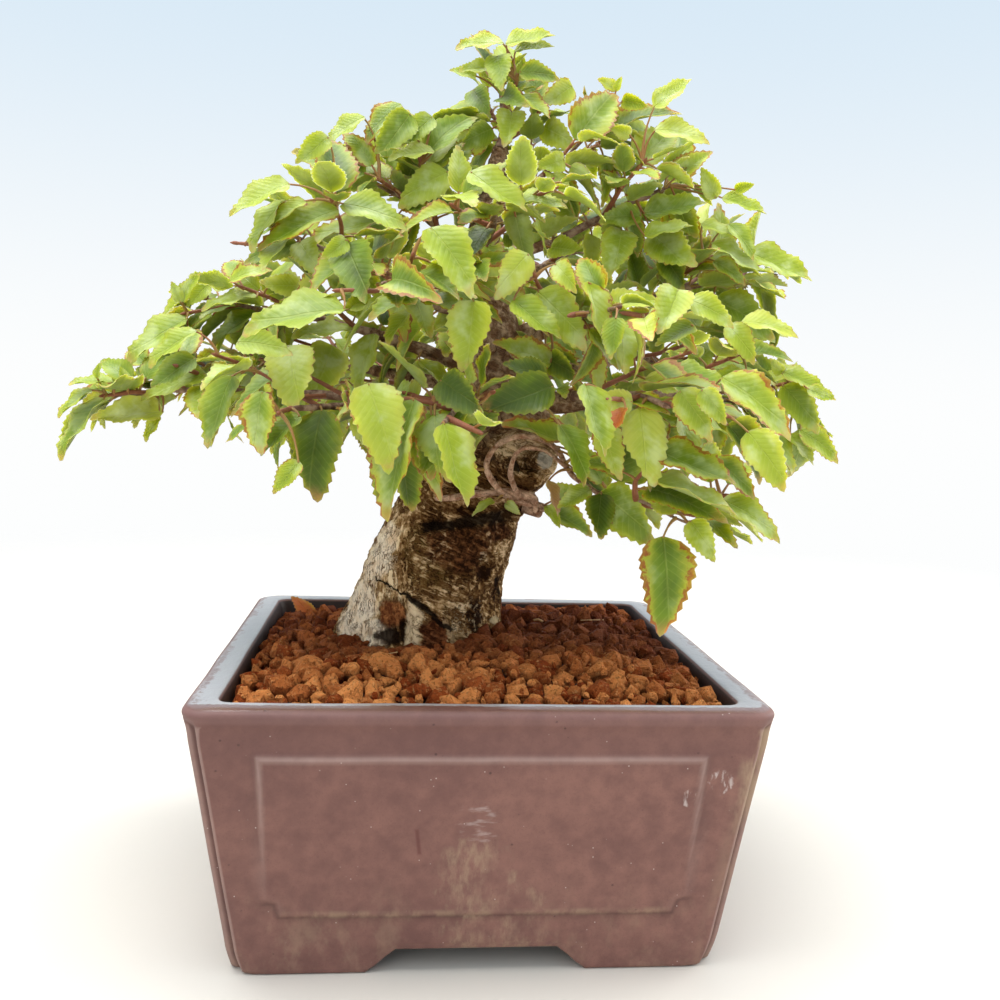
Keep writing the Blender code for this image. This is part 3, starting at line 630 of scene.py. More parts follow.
knocked = knocked * paint.grain(1.6, 3, 0.6, (1, 1, 0.3), 26).ramp(0.48, 0.62) * 0.6
paint.lay(rubbed.most(knocked), (204, 190, 184))
nick = paint.near((-16.6, -71, 39), 4.2, 0).least(abs(paint.x + paint.z * 0.12 + 11.9).ramp(0.1, 0.8, 1, 0))
paint.lay(nick * 0.6, (90, 40, 38))
top = paint.z.ramp(73.9, 74.25)
wear_and_reflection_noise = paint.grain(3.2, 5, 0.72, (1, 0.6, 1), shift=6)
front = paint.y.ramp(-72.2, -69.8, 0.32, 0)
streaks = paint.grain(5, 4, 0.7, (1, 0.35, 1), shift=16)
# Worn pale patches on the rim's top, with a painted reflection of the pale sky on them
worn_and_reflection = (top * (wear_and_reflection_noise * 0.6 + streaks * 0.4 + spread.ramp(69.5, 75.5, 0.2, -0.07) - front).ramp(0.43, 0.56)).least(1)
paint.lay(worn_and_reflection * 0.62, (176, 181, 184))
bead = paint.z.ramp(70.2, 71.6) * paint.z.ramp(73.6, 74.2, 1, 0)
paint.lay(bead * 0.16, (150, 118, 116))
# Painted shade: the inside of the pot, below the rim's top, is darkened
within = (spread - half_here).ramp(-5, -4, 1, 0) * paint.z.ramp(73.3, 74, 1, 0)
paint.lay(within * 0.9, (26, 13, 11))
rough = 0.5 + mottle * 0.14 + dust * 0.3 - top * 0.16
height = paint.grain(1.1, 3, 0.6) * 0.045 + paint.grain(5, 3) * 0.14 + wear_and_reflection_noise * top * 0.35 - pits * 0.1
clay = paint.done(Roughness=rough, Coat_Weight=top * 0.8, Height=height)

# %% Pot
points, faces = loft(pot_rings(), closed=True)
sway = np.array([noise.noise_vector(Vector(p) * 0.035) for p in points])
worn_and_lit_edges, notch_and_panel_shadows = pot_wear_and_shade(points)
points = points + sway * 0.18 * (points[:, 2:] > 8)
pot = add_piece("pot_body", points, faces, clay)
store(pot.data, "wear", worn_and_lit_edges)
store(pot.data, "recess", notch_and_panel_shadows)
declare(pot, "pot", "pot")

# %% [markdown]
# ## The drain mesh
#
# A flat plastic grid keeps the grains from falling through the drain hole. Its solid has the right shape and
# only gets a finish: black moulded plastic, slightly dusty from the clay.

# %% Plastic finish
paint = Paint("moulded_plastic", IOR=1.46)
dusty = paint.grain(3, 4, 0.65).ramp(0.45, 0.7)
paint.colour = paint.mix(dusty * 0.5, (38, 38, 40), (120, 88, 66))
plastic = paint.done(Roughness=0.42 + dusty * 0.4, Height=paint.grain(0.6, 2) * 0.03)
solids["drain_mesh"].data.materials.clear()
solids["drain_mesh"].data.materials.append(plastic)

# %% [markdown]
# ## Geometry Nodes with named sizes
#
# Whatever repeats is made by Geometry Nodes: grains over the soil, leaves on their stalks, twigs along their
# lines. `Recipe` builds a tree with named inputs, whose values are set on the modifier by each socket's
# identifier before the object is first evaluated. The evaluated mesh is kept and the modifier goes, because
# the frame and the export want plain meshes.


# %% Building and running a tree
class Recipe(Maker):
    """A Geometry Nodes tree whose inputs are named with their kinds."""

    KINDS = {"size": "NodeSocketFloat", "count": "NodeSocketInt", "finish": "NodeSocketMaterial"}
    KINDS |= {"shapes": "NodeSocketCollection", "mesh": "NodeSocketGeometry"}

    def __init__(self, name, **inputs):
        super().__init__(bpy.data.node_groups.new(name, "GeometryNodeTree"))
        face = self.tree.interface
        face.new_socket("Mesh", in_out="OUTPUT", socket_type="NodeSocketGeometry")
        for label, kind in {"mesh": "mesh", **inputs}.items():
            face.new_socket(label, in_out="INPUT", socket_type=self.KINDS[kind])
        entry = self.node("NodeGroupInput")
        self.given = {socket.name: Flow(self, socket) for socket in entry.outputs if socket.name}

    def random(self, low, high, seed, kind="FLOAT"):
        values = {"Min": low, "Max": high, "Seed": seed}
        return self.flow("FunctionNodeRandomValue", {"data_type": kind}, values)

    def stored(self, name, kind="FLOAT"):
        return self.flow("GeometryNodeInputNamedAttribute", {"data_type": kind}, {"Name": name})

    def copies(self, spots, index, turn, size):
        """A copy of one of the given shapes on each point."""
        choice = {"Separate Children": True, "Reset Children": True, "Collection": self.given["shapes"]}
        pick = {0: spots, "Pick Instance": True, "Instance": self.flow("GeometryNodeCollectionInfo", None, choice)}
        pick |= {"Instance Index": index, "Rotation": turn, "Scale": self.scaled((1, 1, 1), size)}
        return self.flow("GeometryNodeInstanceOnPoints", None, pick)

    def finish(self, shape, smooth=True):
        """The tree's end: real copies, smooth or faceted, in the given finish."""
        real = self.flow("GeometryNodeRealizeInstances", None, {0: shape})
        real = self.flow("GeometryNodeSetShadeSmooth", None, {0: real, "Shade Smooth": smooth})
        real = self.flow("GeometryNodeSetMaterial", None, {0: real, "Material": self.given["finish"]})
        self.node("NodeGroupOutput", None, {0: real})
        self.report(self.tree.name)

    def run(self, name, mesh, **values):
        """The plain mesh object that the tree makes out of a mesh."""
        holder = new_object(name, mesh)
        modifier = holder.modifiers.new("recipe", "NODES")
        modifier.node_group = self.tree
        for item in self.tree.interface.items_tree:
            if item.in_out == "INPUT" and item.name in values:
                modifier[item.identifier] = values[item.name]
        graph = bpy.context.evaluated_depsgraph_get()
        graph.update()
        made = bpy.data.meshes.new_from_object(holder.evaluated_get(graph))
        holder.modifiers.clear()
        holder.data = made
        made.name = name
        return holder


def shape_library(name, meshes):
    """A hidden collection of shapes for a tree to pick from."""
    library = bpy.data.collections.new(name)
    for number, mesh in enumerate(meshes):
        library.objects.link(bpy.data.objects.new(f"{name}_{number:02d}", mesh))
    return library


# %% [markdown]
# ## Clay grains
#
# The soil is baked clay, broken and sieved: angular crumbs 3 to 9 mm long. One crumb is the convex hull of
# two dozen points on a stretched ball, which gives it about forty flat faces. Ten of them, each at its own
# size and turn, are enough that no two look alike.

# %% Grain shapes
GRAIN_SHAPES, LUMP_POINTS = 10, 24


def jolt(rng, size):
    """A push in some direction."""
    return Vector([rng.gauss(0, size) for _ in range(3)])


def lump_mesh(number):
    rng = random.Random(GRAIN_SEED + number)
    work = bmesh.new()
    stretch = Vector((1, rng.uniform(0.68, 0.95), rng.uniform(0.52, 0.8)))
    for _ in range(LUMP_POINTS):
        way = jolt(rng, 1).normalized()
        reach = 1 + 0.3 * noise.noise(way * 1.9 + Vector((number * 9, 0, 0))) + rng.uniform(-0.08, 0.06)
        work.verts.new(way * reach * stretch)
    hull = bmesh.ops.convex_hull(work, input=work.verts)
    bmesh.ops.delete(work, geom=[item for item in hull["geom_interior"] if item.is_valid], context="VERTS")
    mesh = bpy.data.meshes.new("lump")
    work.to_mesh(mesh)
    work.free()
    return mesh


lumps = shape_library("lump", [lump_mesh(number) for number in range(GRAIN_SHAPES)])
print(f"{GRAIN_SHAPES} grain shapes")

# %% [markdown]
# ## Where the grains lie
#
# They lie on the soil's mound, which is a little below the rim at the walls and rises to the trunk, and they
# keep off the surface roots. Poisson spacing leaves no clumps and no bald spots. Small grains fill the gaps,
# large ones lie on top, and a few crumbs are strewn over them.

# %% The mound
SOIL_EDGE_DROP = 5.5
SOIL_MOUND = 8.5
MOUND_MARGIN, MOUND_CELLS = 2.4, 64
ROOTS = [(180, 26, 7), (238, 17, 5), (283, 15, 5.5), (335, 24, 6), (40, 28, 6), (112, 26, 6)]
TRUNK_FOOT = (-14.5, 15.0, 24.0)
WASHED_OUT = [(-22.0, -11.0, 22.0, 15.0, 4.6), (-48.0, 66.0, 42.0, 20.0, 3.0)]


def hollow(x, y):
    """How much lower the grains lie where watering has washed them away."""
    rows = WASHED_OUT
    return sum(deep * np.exp(-(((x - u) / wide) ** 2) - ((y - v) / far) ** 2) for u, v, wide, far, deep in rows)


def soil_height(x, y):
    edge = np.minimum(np.maximum(np.abs(x), np.abs(y)) / MOUTH_HALF, 1)
    return POT_HEIGHT - SOIL_EDGE_DROP + SOIL_MOUND * (1 - edge**2) - hollow(x, y)


def root_push(degrees):
    """How far the surface roots stand out in a direction, in millimetres."""
    push = 0
    for direction, width, height in ROOTS:
        off = (degrees - direction + 180) % 360 - 180
        push = push + height * np.exp(-((off / width) ** 2))
    return push


def mound_mesh():
    """The part of the mound that shows, with a hole where the trunk stands."""
    reach, cells = MOUTH_HALF - MOUND_MARGIN, MOUND_CELLS
    ticks = np.linspace(-reach, reach, cells + 1)
    x, y = (grid.ravel() for grid in np.meshgrid(ticks, ticks, indexing="ij"))
    foot_x, foot_y, foot = TRUNK_FOOT
    turn = np.degrees(np.arctan2(y - foot_y, x - foot_x))
    wood = np.hypot(x - foot_x, y - foot_y) < foot + root_push(turn) * 0.75 - 1.0
    points = np.column_stack([x, y, soil_height(x, y)])
    faces = []
    for i in range(cells):
        for j in range(cells):
            a = i * (cells + 1) + j
            quad = [a, a + cells + 1, a + cells + 2, a + 1]
            if not wood[quad].any():
                faces.append(quad)
    return new_mesh("mound", (points * MM).tolist(), faces=faces)


print(f"the mound is {soil_height(0, 40):.1f} mm high behind the trunk and {soil_height(0, 64):.1f} mm at the wall")

# %% Scatter the grains
scatter = Recipe("scatter_grains", shapes="shapes", large="size", small="size", crumbs="size", finish="finish")


def layer(recipe, spacing, least, most, low, high, seed):
    """One layer of grains: spaced points, a shape, a turn and a size for each."""
    rules = {0: recipe.given["mesh"], "Distance Min": spacing, "Density Max": 4e5, "Seed": seed}
    spots = recipe.flow("GeometryNodeDistributePointsOnFaces", {"distribute_method": "POISSON"}, rules)
    up = recipe.flow("ShaderNodeCombineXYZ", None, {"Z": recipe.random(low * MM, high * MM, seed + 1)})
    spots = recipe.flow("GeometryNodeSetPosition", None, {0: spots, "Offset": up})
    turn = recipe.random((0, 0, 0), (2 * math.pi,) * 3, seed + 2, "FLOAT_VECTOR")
    turn = recipe.flow("FunctionNodeEulerToRotation", None, {0: turn})
    size = recipe.random(least * MM, most * MM, seed + 3)
    grains = recipe.copies(spots, recipe.random(0, GRAIN_SHAPES - 1, seed + 4, "INT"), turn, size)
    own = {0: grains, "Name": "grain_tone", "Value": recipe.random(0, 1, seed + 5)}
    return recipe.flow("GeometryNodeStoreNamedAttribute", {"domain": "INSTANCE"}, own)


both = scatter.node("GeometryNodeJoinGeometry")
for part in (
    layer(scatter, scatter.given["small"], 1.4, 2.4, -1.3, 0.6, 11),
    layer(scatter, scatter.given["large"], 2.4, 4.7, -0.2, 1.6, 31),
    layer(scatter, scatter.given["crumbs"], 0.9, 1.7, 1.2, 2.8, 51),
):
    scatter.feed(both.inputs[0], part)
scatter.finish(Flow(scatter, both.outputs[0]), smooth=False)

# %% [markdown]
# ## Baked clay, dry and wet
#
# Dry grains at the front are a light orange brown, and wet ones at the back and the right nearly chocolate.
# The number kept on each grain gives it a shade of its own, a slow noise mixes wet and dry at the border, and a rough
# bump stands for the broken surface. Grains that lie low among the others, and faces that turn down, get painted
# shade.

# %% Grain finish
paint = Paint("baked_clay", Specular_IOR_Level=0.08)
own = paint.stored("grain_tone")
patch = (paint.grain(26, 3, shift=5) - 0.5) * 1.1 + (own - 0.5) * 0.7
damp = (paint.y * 0.021 + paint.x * 0.004 + patch + 0.98).ramp(0.1, 0.95)
soaked = (paint.near((46, 4, 73), 34, 12, 14) * 0.75).most(paint.near((10, -5, 74), 31, 10, 14) * 0.62)
soaked = soaked.most(paint.near((-33, -13, 72), 20, 6, 8) * 0.6)
dry = paint.mix(own.ramp(0.05, 0.9), (142, 63, 24), (232, 148, 82))
wet = paint.mix(own.ramp(0.2, 1), (116, 54, 26), (190, 106, 56))
paint.colour = paint.mix(damp, dry, wet)
paint.lay(soaked * (0.58 + own * 0.36), (84, 40, 20))
crumb = paint.grain(1.3, 4, 0.7)
light_crumb = paint.mix(damp.most(soaked), (232, 172, 110), (156, 94, 54))
paint.lay(crumb.ramp(0.52, 0.68) * 0.5, light_crumb)
paint.lay(paint.grain(0.8, 3, 0.7, shift=14).ramp(0.5, 0.66) * 0.6, (60, 26, 10))
# Painted shade on grains that lie low and on faces that turn down
paint.lay(paint.stored("sunk") * 0.84, (46, 18, 7))
height = crumb * 1.7 + paint.grain(0.55, 3, 0.75) * 0.6
baked = paint.done(Roughness=0.94 - damp * 0.2, Height=height)

# The bed shows only between the grains: packed soil, painted very dark as the shade in those gaps
paint = Paint("packed_soil", Roughness=0.95)
paint.colour = paint.mix(paint.grain(2.5, 4), (34, 16, 9), (82, 44, 24))
packed = paint.done(Height=paint.grain(1.6, 4, 0.7) * 0.8)

# %% [markdown]
# The solid under the grains has to sink with them where they are washed out, so a copy of it with a lower
# top takes its place.

# %% Soil under the grains
SOIL_TOP_FROM, BED_DROP = 62, 1.3
under = solids["soil"].data.copy()
for vertex in under.vertices:
    x, y, z = vertex.co / MM
    if z > SOIL_TOP_FROM:
        vertex.co.z -= (float(hollow(x, y)) + BED_DROP) * MM
under.materials.clear()
under.materials.append(packed)
declare(new_object("soil_bed", under), "soil", "soil")

# %% Grains
DARK_DEPTH = 3.2
values = {"shapes": lumps, "large": 4.6 * MM, "small": 2.9 * MM, "crumbs": 5.2 * MM, "finish": baked}
grains = scatter.run("soil_grains", mound_mesh(), **values)
count = len(grains.data.vertices)
places, facing = np.empty(count * 3), np.empty(count * 3)
grains.data.vertices.foreach_get("co", places)
grains.data.vertex_normals.foreach_get("vector", facing)
x, y, z = places.reshape(-1, 3).T / MM
# Painted shade: how low each grain lies among the others, and how far its faces turn down, is kept as sunk, which the
# finish darkens
above = z - soil_height(x, y)
deep = np.clip((np.percentile(above, 75) - above) / DARK_DEPTH, 0, 1)
sunk = np.clip(deep * 0.85 - facing[2::3] * 0.25 + 0.05, 0, 1)
store(grains.data, "sunk", sunk)
print(f"grains reach {above.max():.1f} mm above the bed and {above.min():.1f} mm into it")
declare(grains, "soil")

# %% [markdown]
# ## The tree's lines
#
# A branch is a line with a thickness at each point, and the solids were grown from such lines: a trunk,
# twenty-one main branches, a low shoot and a leader. The same rules and seeds grow them here, so every twig
# lies where its solid lies. The tables are in millimetres, and the paths in metres: x, y, z and radius.

# %% Trunk and branches
TRUNK = [(-15, 15, 42, 18), (-15, 15, 60, 23), (-14.5, 15, 72, 24.5), (-12.5, 14, 84, 22.8), (-9.5, 13, 97, 21.8)]
TRUNK += [(-5, 12, 110, 20.2), (-1, 11, 121, 18.6), (5, 10, 132, 18), (9, 10, 142, 16.5), (9, 11, 152, 13)]
TRUNK += [(6.5, 11, 168, 9.5), (3.5, 10, 184, 7.4), (0.5, 9, 197, 6), (3.5, 8, 217, 4), (6, 8, 232, 2.6)]
BRANCHES = {
    "left_low": (146, (-109, -4, 150), 3.6, 4),
    "left_front_low": (141, (-66, -62, 143), 3.4, 8),
    "left_mid": (160, (-89, 18, 182), 3.2, 4),
    "left_back": (152, (-88, 54, 160), 3.2, 6),
    "left_upper": (174, (-60, -31, 198), 2.7, 3),
    "left_top": (194, (-31, 4, 217), 2.2, 2),
    "top_right": (202, (30, -4, 233), 2.1, 2),
    "right_upper": (190, (61, 6, 223), 2.4, 3),
    "right_mid": (170, (98, 12, 197), 3.0, 4),
    "right_low": (148, (111, -4, 150), 3.6, 6),
    "right_back": (156, (90, 50, 168), 3.2, 5),
    "right_front": (144, (46, -82, 150), 3.3, 8),
    "front_low": (139, (-15, -86, 145), 3.2, 10),
    "front_right": (163, (29, -74, 176), 2.8, 5),
    "front_left": (166, (-31, -71, 180), 2.8, 5),
    "front_top": (186, (2, -46, 207), 2.3, 3),
    "back_low_left": (149, (-50, 80, 150), 3.2, 7),
    "back_low_right": (147, (50, 80, 148), 3.2, 7),
    "back_mid": (168, (2, 80, 176), 2.8, 5),
    "back_upper_left": (184, (-42, 48, 205), 2.4, 3),
    "back_upper_right": (186, (42, 46, 207), 2.4, 3),
}
LOW_SHOOT = [(17, 2, 120, 2.6), (21, -10, 119.5, 2.2), (9, -14, 123.5, 1.7), (2.5, -17, 132, 1.5)]
LOW_SHOOT += [(6, -19, 139.5, 1.5), (14, -20.5, 142, 1.4), (22.5, -21, 139, 1.4), (27.6, -24, 131, 1.3)]
LOW_SHOOT += [(33, -36, 127, 1.3), (43, -50, 126, 1.2), (54, -64, 121, 0.9)]
LEADER = [(6.05, 8, 232.3, 2.2), (6.8, 8, 237, 2), (6.3, 8.2, 243, 1.5), (5.3, 8, 249, 0.9)]
LOOP_TWIG = [(13, -13, 123, 1.5), (9.5, -20, 131, 1.3), (12, -22, 138, 1.2), (19, -24, 138, 1.1), (26, -24, 133, 1.1)]
BRANCH_CUT, SHOOT_CUT = 6, 24
TIP_RADIUS = 0.8 * MM
BENDS, SPAN_STEPS = 5, 3
BEND_SIZE = 3.2 * MM
SHOOT_SLIMMING = 0.58
FLAT_SHOOT = [(-12, -4, 121, 0.8), (-6.3, -8.8, 122, 1.1), (0.5, -10.8, 123.4, 1.1), (7.3, -12.2, 124.2, 1.25)]
FLAT_SHOOT += [(14, -13.2, 123.7, 1.3), (17.2, -13.4, 122.8, 1.5), (18.4, -13.4, 120.6, 1.3), (18, -13, 118.4, 0.9)]
CANOPY_CENTRE = Vector((0, 5 * MM, 160 * MM))
GOLDEN_ANGLE = math.radians(137.5)
SEED = 41


def smooth(points, per_span):
    """Rows on the Catmull-Rom curve through the given rows, radius included."""
    rows = np.array([points[0], *points, points[-1]], float)
    rows[0] = 2 * rows[1] - rows[2]
    rows[-1] = 2 * rows[-2] - rows[-3]
    made = []
    for a, b, c, d in zip(rows, rows[1:], rows[2:], rows[3:]):
        for t in np.arange(per_span) / per_span:
            bend = 2 * a - 5 * b + 4 * c - d
            made.append((2 * b + (c - a) * t + bend * t * t + (3 * b - a - 3 * c + d) * t**3) / 2)
    return np.array([*made, rows[-2]])


def step_lengths(path):
    return np.linalg.norm(np.diff(path[:, :3], axis=0), axis=1)


def point_at(path, share):
    """The row at this share of the path's length, and the direction there."""
    steps = step_lengths(path)
    along = np.concatenate([[0], np.cumsum(steps)])
    where = share * along[-1]
    i = int(min(np.searchsorted(along, where, side="right"), len(path) - 1)) - 1
    t = (where - along[i]) / steps[i]
    return path[i] + (path[i + 1] - path[i]) * t, Vector(path[i + 1, :3] - path[i, :3]).normalized()


def path_length(path):
    return float(step_lengths(path).sum())


def cut_in_two(path, cut):
    """The bare inner limb, and the outer limb that bears the leaves."""
    before, after = path[cut], path[cut + 1]
    middle = (before + after) / 2
    half_gap = (after - before) * [1, 1, 1, 0] * 0.15 * MM / np.linalg.norm((after - before)[:3])
    inner = np.array([*path[: cut + 1 : SPAN_STEPS], middle - half_gap])
    outer = np.array([middle + half_gap, after, *path[cut + SPAN_STEPS :: SPAN_STEPS]])
    return inner, outer


def branch_path(height, tip, radius, arch, rng):
    """An arched branch from the trunk's middle to its tip, with the small bends of pruned wood."""
    trunk = np.array(TRUNK, float) * MM
    start = np.array([np.interp(height * MM, trunk[:, 2], trunk[:, k]) for k in range(3)])
    chord = np.array(tip) * MM - start
    side = np.array(Vector(chord).cross(UP).normalized())
    rows = []
    for i in range(BENDS + 1):
        share = i / BENDS
        hump = 4 * share * (1 - share)
        sway = rng.uniform(-1, 1) * BEND_SIZE * min(1, hump)
        rise = arch * MM * hump + rng.uniform(-0.5, 0.5) * BEND_SIZE * min(1, hump)
        width = radius * MM + (TIP_RADIUS - radius * MM) * share**0.6
        rows.append([*(start + chord * share + side * sway + np.array((0, 0, rise))), width])
    return smooth(rows, SPAN_STEPS)


def clamp(share):
    return min(1, max(0, share))


def square(way, aim):
    """The part of a direction that is square to another."""
    return (way - aim * way.dot(aim)).normalized()


def heading(rows, i):
    """The direction of a line at one of its rows."""
    return Vector(rows[min(i + 1, len(rows) - 1), :3] - rows[max(i - 1, 0), :3]).normalized()


print(f"{len(BRANCHES)} branches, a low shoot and a leader")

# %% [markdown]
# ## Twigs and leaves, by rule
#
# A hornbeam sets its twigs and leaves alternately to the left and the right. Young leaves point forwards and
# outwards, and those lower in the crown hang more. A leaf is kept as five things: where it starts, which way
# it points, which way its upper side faces, its length and its fold.

# %% Growth rules
TWIG_SPACING, FULL_LIMB = 9.5 * MM, 45 * MM
TWIG_LENGTH, TWIG_RADIUS = (30 * MM, 15 * MM), (0.9 * MM, 0.7 * MM)
TWIG_ANGLE, TWIG_RISE = (42, 66), (-22, 40)
LEAF_SPACING, LEAF_SINK, STALK = 5.6 * MM, 1.2 * MM, 4.5 * MM
LEAF_ANGLE, LEAF_DROOP, LOW_DROOP = (35, 75), (0.05, 0.45), 0.65
DROOP_TOP, DROOP_SPAN = 200 * MM, 70 * MM
LEAF_LENGTH = (15.5 * MM, 25 * MM)
LEAF_HALF_WIDTH = 0.29


def sideways(along, turn):
    """Where a shoot leaves: left and right by turns, or in a spiral on upright wood."""
    if along.cross(UP).length > 0.5:
        return along.cross(UP).normalized() * (1 if turn % 2 else -1)
    spot = Vector((math.cos(turn * GOLDEN_ANGLE), math.sin(turn * GOLDEN_ANGLE), 0))
    return square(spot, along)


def side_twigs(path, rng):
    """Twigs to the left and right of a branch in turn, shorter towards its tip."""
    length = path_length(path)
    count = max(3, int(length / TWIG_SPACING))
    vigour = min(1, 0.4 + 0.6 * length / FULL_LIMB)
    twigs = []
    for i in range(count):
        share = 0.07 + 0.9 * i / count
        row, along = point_at(path, share)
        side = sideways(along, i)
        lift = side.cross(along).normalized() * (1 if i % 2 else -1)
        spread = math.radians(rng.uniform(*TWIG_ANGLE))
        rise = math.radians(rng.uniform(*TWIG_RISE))
        aim = along * math.cos(spread) + (side * math.cos(rise) + lift * math.sin(rise)) * math.sin(spread)
        far = TWIG_LENGTH[0] + (TWIG_LENGTH[1] - TWIG_LENGTH[0]) * share
        far *= rng.uniform(0.75, 1.15) * vigour
        middle = Vector(row[:3]) + aim * far * 0.5
        end = middle + (aim + along * 0.45 + UP * rng.uniform(-0.25, 0.3)).normalized() * far * 0.5
        thick, thin = TWIG_RADIUS
        twigs.append(np.array([[*row[:3], thick], [*middle, (thick + thin) / 2], [*end, thin]]))
    return twigs


def leaf_at(row, along, side, rng):
    """A leaf on its twig: start, direction, upper side, length and fold."""
    start = Vector(row[:3])
    outward = (start - CANOPY_CENTRE).normalized()
    low = clamp((DROOP_TOP - start.z) / DROOP_SPAN)
    spread = math.radians(rng.uniform(*LEAF_ANGLE))
    droop = rng.uniform(*LEAF_DROOP) + LOW_DROOP * low * rng.random()
    reach = along * math.cos(spread) + side * math.sin(spread) + outward * 0.5 - UP * droop
    tilt = Vector((rng.uniform(-0.35, 0.35), rng.uniform(-0.35, 0.35), 0))
    face = UP + outward * 0.55 + tilt
    length = rng.uniform(*LEAF_LENGTH) * (0.86 + 0.2 * low)
    aim = reach.normalized()
    return start, aim, square(face, aim), length, rng.uniform(0.05, 0.45)


def twig_leaves(path, start, rng):
    """Leaves to the left and right in turn along a twig, and one on its tip."""
    length = path_length(path)
    end = 1 - LEAF_SINK / length
    count = max(2, int(length * (end - start) / LEAF_SPACING))
    leaves = []
    for i in range(count + 1):
        row, along = point_at(path, start + (end - start) * i / count)
        leaves.append(leaf_at(row, along, sideways(along, i) * (0.25 if i == count else 1), rng))
    return leaves


def grow_sprays():
    """For each branch: its inner limb, its outer limb, its twigs and its leaves."""
    sprays = {}
    for index, name in enumerate([*BRANCHES, "low_shoot", "leader"]):
        rng = random.Random(SEED * 100 + index)
        if name == "low_shoot":
            inner, outer = cut_in_two(smooth(np.array(LOW_SHOOT, float) * MM, SPAN_STEPS), SHOOT_CUT)
        elif name == "leader":
            inner, outer = None, np.array(LEADER, float) * MM
        else:
            inner, outer = cut_in_two(branch_path(*BRANCHES[name], rng), BRANCH_CUT)
        twigs = side_twigs(outer, rng)
        leaves = twig_leaves(outer, 0.35, rng)
        for twig in twigs:
            leaves += twig_leaves(twig, 0.3, rng)
        sprays[name] = (inner, outer, twigs, leaves)
    return sprays


sprays = grow_sprays()
print(f"{sum(len(twigs) for _, _, twigs, _ in sprays.values())} twigs")

# %% [markdown]
# ## Bark that was grown, not wrapped
#
# The trunk leans to the right out of flaring surface roots, narrows fast, and carries a large healed knot
# with a hollow in it. A loft with a ring every millimetre follows its line. Each point moves in or out by
# noise stretched along the trunk, by dents such as the dark crease under the knot, and by swellings such as
# the pale root on the left.

# %% Trunk relief
ROOT_LEVEL, ROOT_FADE = 68.0, 13.0
BURIED_TO, BURIED_FADE = 62, 8
TRUNK_SIDES, TRUNK_STEPS = 150, 17
# Dents and swellings: two ends, how wide, and how far in (less than nothing) or out, in millimetres
FORMS = [
    ((-13, -5.5, 114), (13, -1, 115.5), 2.6, -2.4),
    ((-3, -8, 119), (12, -4, 121), 2.6, -1.6),
    ((-26.8, -7, 75.5), (-24.5, -6.5, 79), 3.6, -3.6),
    ((-20.6, -8.5, 75), (-20.8, -8, 81), 1.7, -2.2),
    ((-29, -3.5, 83.4), (-22.5, -7, 84.5), 3.6, -0.9),
    ((-17.2, -9.6, 77), (-18.5, -8.3, 90), 2.4, 1.5),
    ((-9, -10, 74), (-13, -7.5, 92), 4.2, 1.3),
    ((1.5, -7, 75), (-2, -7.5, 94), 4.4, 1.4),
    ((-5.2, -8.5, 76), (-7, -8, 86), 1.8, -1.8),
    ((-35, 5, 76), (-30, 4, 97), 7.0, 1.6),
    ((9, 2.5, 82), (11.8, 5.5, 99), 1.7, -2.6),
    ((10.5, 0, 77), (9.6, 1, 84), 3.2, 1.4),
    ((-18, -6, 124), (-8, -8, 131), 4.0, 1.6),
    ((14, 0, 108), (16, 1, 117), 3.5, 1.2),
]


def form_at(point):
    """How far the dents and swellings move the bark at a point."""
    total = 0.0
    for a, b, width, depth in FORMS:
        start, line = Vector(a), Vector(b) - Vector(a)
        share = clamp((point - start).dot(line) / line.length_squared)
        off = (point - start - line * share).length / width
        total += depth * math.exp(-off * off)
    return total


def bark_relief(point, far_up):
    """How far the bark stands out: slow lumps, ridges along the wood, plates and crumbs."""
    lump = noise.noise(point * 0.06) * 1.1
    flow = Vector((point.x * 0.21, point.y * 0.21, point.z * 0.075))
    ridge = (0.32 - abs(noise.noise(flow + Vector((9, 4, 2))))) * 1.5
    plates = abs(noise.noise(Vector((point.x * 0.32, point.y * 0.32, point.z * 0.55 + point.x * 0.22))))
    crumbs = noise.fractal(point * 0.6, 0.9, 2.1, 3) * 0.32
    return (lump + ridge + (0.22 - plates) * 0.9) * (0.45 + 0.55 * far_up) + crumbs


def spokes(across, back, count):
    """The angles round a ring, each with its direction from the middle."""
    for k in range(count):
        angle = 2 * math.pi * k / count
        yield angle, across * math.cos(angle) + back * math.sin(angle)


def trunk_rings():
    rows = smooth(np.array(TRUNK, float), TRUNK_STEPS)
    rings = []
    for i, (x, y, z, radius) in enumerate(rows):
        ahead = heading(rows, i)
        across = square(Vector((1, 0, 0)), ahead)
        swell = math.exp(-max(0, z - ROOT_LEVEL) / ROOT_FADE)
        clear = clamp((z - BURIED_TO) / BURIED_FADE)
        slender = min(1, radius / 14)
        ring = []
        for angle, way in spokes(across, ahead.cross(across), TRUNK_SIDES):
            spot = Vector((x, y, z)) + way * (radius + swell * float(root_push(math.degrees(angle))))
            push = (bark_relief(spot, slender) * (0.4 + 0.6 * slender) + form_at(spot)) * clear
            ring.append(spot + way * push)
        rings.append(ring)
    return rings


print(f"{len(FORMS)} dents and swellings on {len(TRUNK) - 1} spans of {TRUNK_STEPS} rings")

# %% [markdown]
# Limbs and the knot are lofts too. A limb's rings must not twist, so each takes its sideways direction from
# the ring before it. Noise on the radius gives the swellings where twigs were pruned away.


# %% Limbs and the knot
# How far out and how wide the callus is, up its outside and down into the hollow
KNOT_OUTSIDE = [(0, 11), (6, 11.2), (10.5, 10.4), (14, 8.6), (15.2, 6.6)]
KNOT_HOLLOW = [(15.2, 6.5), (14, 4.6), (11, 3.2), (8.5, 2.2)]
KNOT_SIDES = 64
